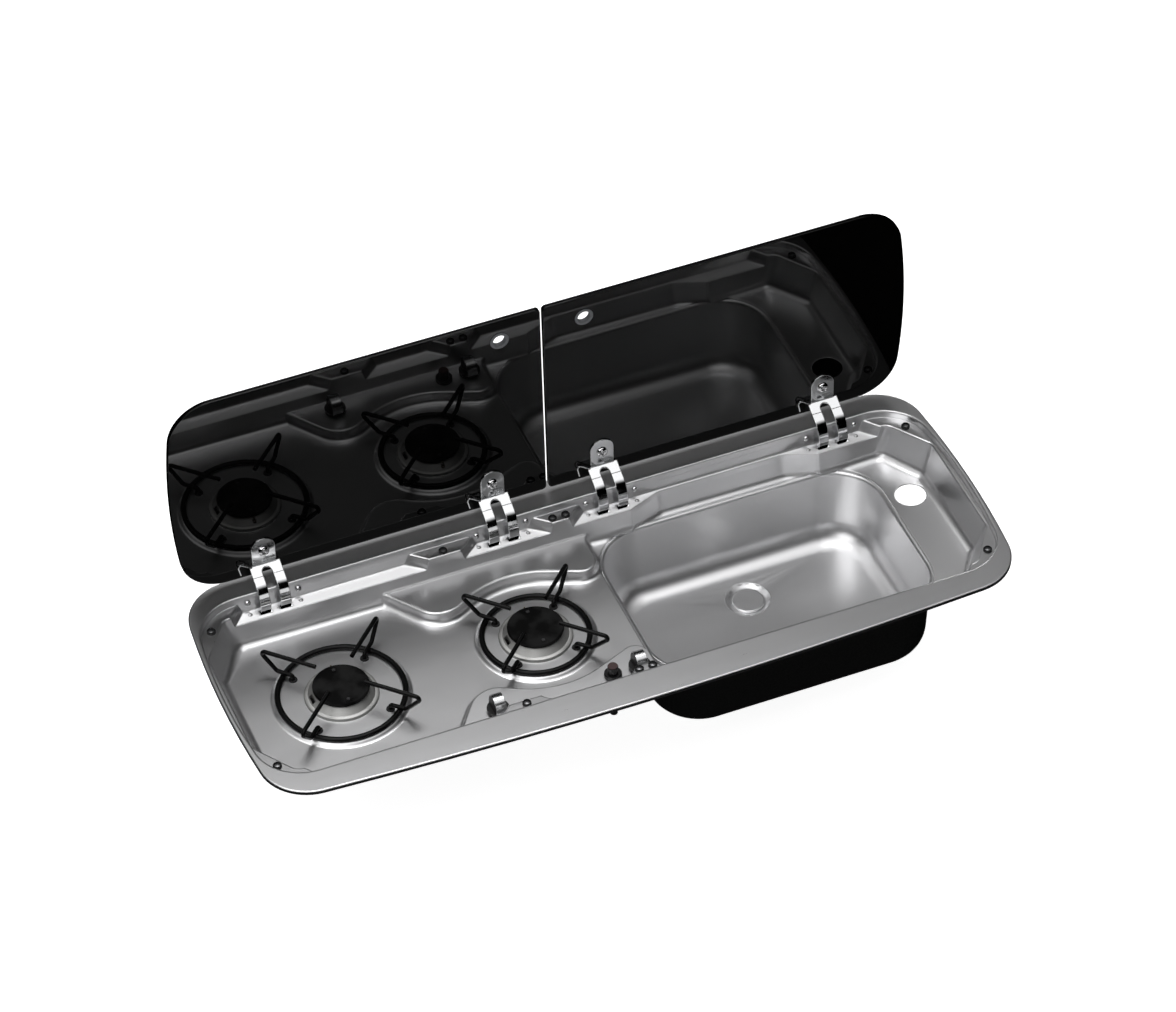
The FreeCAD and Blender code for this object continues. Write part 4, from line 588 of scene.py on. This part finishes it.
low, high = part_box("drain_plug")
drain_middle = ((low[0] + high[0]) / 2, (low[1] + high[1]) / 2)
rim_top = np.array([[27.4, -143.97], [26.9, -143.90], [26.2, -143.95], [25.6, -144.25], [20.6, -147.30],
                    [20.0, -147.60], [19.4, -147.75], [19.0, -147.80]]) * MM
rim_thick = 0.3 * MM
rim_under = rim_top[::-1] - [0, rim_thick]
ring = spun_ring(drain_middle, np.concatenate([rim_top, rim_under]))
skin("drain_rim", [ring], satin_steel, "base", closed_loop=True)

# %% [markdown]
# ## Pan rings
#
# The rings of the pan supports lie low, so the enamel pools on them when they are dipped and hung, and they
# end up thicker than the arms. The same spin makes their coat, from a slightly flat oval section.

# %% The thicker enamel on the pan rings
ring_radius = {"left": 71.0 * MM, "right": 60.5 * MM}
ring_z, coat_flat, coat_high = -40.6 * MM, 3.3 * MM, 2.8 * MM
section = np.linspace(0, 2 * np.pi, 28, endpoint=False)
for side, radius in ring_radius.items():
    low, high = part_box(f"pan_support_{side}")
    middle = ((low[0] + high[0]) / 2, (low[1] + high[1]) / 2)
    oval = np.stack([radius + coat_flat * np.cos(section), ring_z + coat_high * np.sin(section)], axis=1)
    skin(f"pan_ring_coat_{side}", [spun_ring(middle, oval)], black_enamel, f"support_{side}",
         closed_loop=True)

# %% [markdown]
# ## Floor
#
# The part stands on a plain pale floor, a hair below its lowest point. The floor is a flat sheet of matt
# white paper that glows a little, so that it stays white under the part. It is kept out of mirror
# reflections so that the black lids stay black, as in a studio with dark flags.

# %% A pale floor
floor_half, floor_gap, paper_fibre, paper_glow = 6.0, 0.5 * MM, 40 * MM, 0.9
floor_z = cad_low[2] - floor_gap
across, along = np.meshgrid([-floor_half, floor_half], [-floor_half, floor_half])
corners = np.stack([across.ravel(), along.ravel(), np.full(4, floor_z)], axis=1)
floor_mesh = bpy.data.meshes.new("floor")
floor_mesh.from_pydata(corners.tolist(), [], [(0, 1, 3, 2)])
floor = bpy.data.objects.new("floor", floor_mesh)
bpy.context.scene.collection.objects.link(floor)
pale_floor, tree, shader, place = start_finish("matt_paper_white", "F4F4F4", 0.0, 0.9)
gloss = remap(tree, noise(tree, place, paper_fibre, 2.0), 0.0, 1.0, 0.85, 0.95)
tree.links.new(gloss, shader.inputs["Roughness"])
shader.inputs["Emission Color"].default_value = linear("FFFFFF")
shader.inputs["Emission Strength"].default_value = paper_glow
floor_mesh.materials.append(pale_floor)
floor.visible_glossy = False
print("floor at", floor_z)

# %% [markdown]
# ## Room light
#
# Satin metal shows the room more than its own colour, so the studio is drawn as a room: dark walls and a
# pale ceiling. The ceiling is brighter on the left and in front, so that flat steel reads mid grey and the
# rear walls are lit. In front it begins higher up, so that the lids mirror dark walls.

# %% Ceiling
scene = bpy.context.scene
world = bpy.data.worlds.new("studio_room")
scene.world = world
world.use_nodes = True
tree = world.node_tree
tree.nodes.clear()
ceiling_start, ceiling_full, front_lift = 0.66, 0.97, 0.18
left_glow, right_glow, front_glow = 1.40, 0.60, 1.85
direction = add(tree, "ShaderNodeTexCoord").outputs["Generated"]
way = add(tree, "ShaderNodeSeparateXYZ", links={0: direction}).outputs
before = add(tree, "ShaderNodeMath", {"operation": "MINIMUM", 1: 0.0}, {0: way["Y"]})
height = add(tree, "ShaderNodeMath", {"operation": "MULTIPLY_ADD", 1: front_lift},
             {0: before.outputs["Value"], 2: way["Z"]})
ceiling = add(tree, "ShaderNodeMapRange", {"From Min": ceiling_start, "From Max": ceiling_full,
              "interpolation_type": "SMOOTHSTEP"}, {"Value": height.outputs["Value"]})
leftward = remap(tree, way["X"], -0.7, 0.7, left_glow, right_glow)
frontward = remap(tree, way["Y"], -0.30, 0.10, front_glow, 1.0)
side_light = add(tree, "ShaderNodeMath", {"operation": "MULTIPLY"},
                 {0: ceiling.outputs["Result"], 1: leftward})
glow = add(tree, "ShaderNodeMath", {"operation": "MULTIPLY"},
           {0: side_light.outputs["Value"], 1: frontward})
room = add(tree, "ShaderNodeBackground", {"Color": linear("FFFFFF")}, {"Strength": glow.outputs["Value"]})
add(tree, "ShaderNodeOutputWorld", links={"Surface": room.outputs["Background"]})
print("room light:", world.name)

# %% [markdown]
# ## Soft boxes
#
# Four soft boxes make the highlights. The strong one overhead, a little behind, is caught by every bend
# that leans towards the camera. A softer one at the left of the camera lights the left ends, a weak low one
# in front lights the faces of knobs and hinges, and a low one behind shows the clamps at the backs of the
# lids.

# %% Four soft boxes
def soft_box(name, place, width, depth, watts):
    """A rectangular light at place, turned so that its face looks at the middle of the part."""
    lamp = bpy.data.lights.new(name, "AREA")
    lamp.shape = "RECTANGLE"
    lamp.size = width
    lamp.size_y = depth
    lamp.energy = watts
    box = bpy.data.objects.new(name, lamp)
    aim = (-Vector(place)).to_track_quat("-Z", "Y")
    box.matrix_world = Matrix.Translation(place) @ aim.to_matrix().to_4x4()
    scene.collection.objects.link(box)


soft_box("overhead_box", (0.0, 0.65, 2.42), 1.3, 1.0, 16)
soft_box("front_left_box", (-1.45, -1.01, 1.77), 1.6, 1.3, 11)
soft_box("front_low_box", (0.0, -2.41, 0.65), 1.2, 0.9, 2.7)
soft_box("back_low_box", (0.9, 2.6, 0.55), 2.0, 0.5, 15)

# %% [markdown]
# ## Camera
#
# The photograph looks down at 44 degrees and from the left of the front. The camera's place, its three
# axes and its lens were fitted to the deck's outline, so the part fills the frame in the same way.

# %% Camera at the photograph's angle
camera_data = bpy.data.cameras.new("photo_camera")
camera_data.sensor_fit = "HORIZONTAL"
camera_data.sensor_width = 36.0
camera_data.lens = 150.845
camera_data.clip_end = 50.0
camera_place = (-1.3944, -3.6325, 3.8765)
camera = bpy.data.objects.new("photo_camera", camera_data)
camera_right = Vector((0.92712, -0.37416, -0.02108))
camera_up = Vector((0.27379, 0.63786, 0.71984))
camera_back = camera_right.cross(camera_up)
turned = Matrix((camera_right, camera_up, camera_back)).transposed().to_4x4()
camera.matrix_world = Matrix.Translation(camera_place) @ turned
scene.collection.objects.link(camera)
scene.camera = camera
scene.view_settings.view_transform = "Standard"
print("camera elevation", round(float(np.degrees(np.arcsin(camera_back.z))), 2))
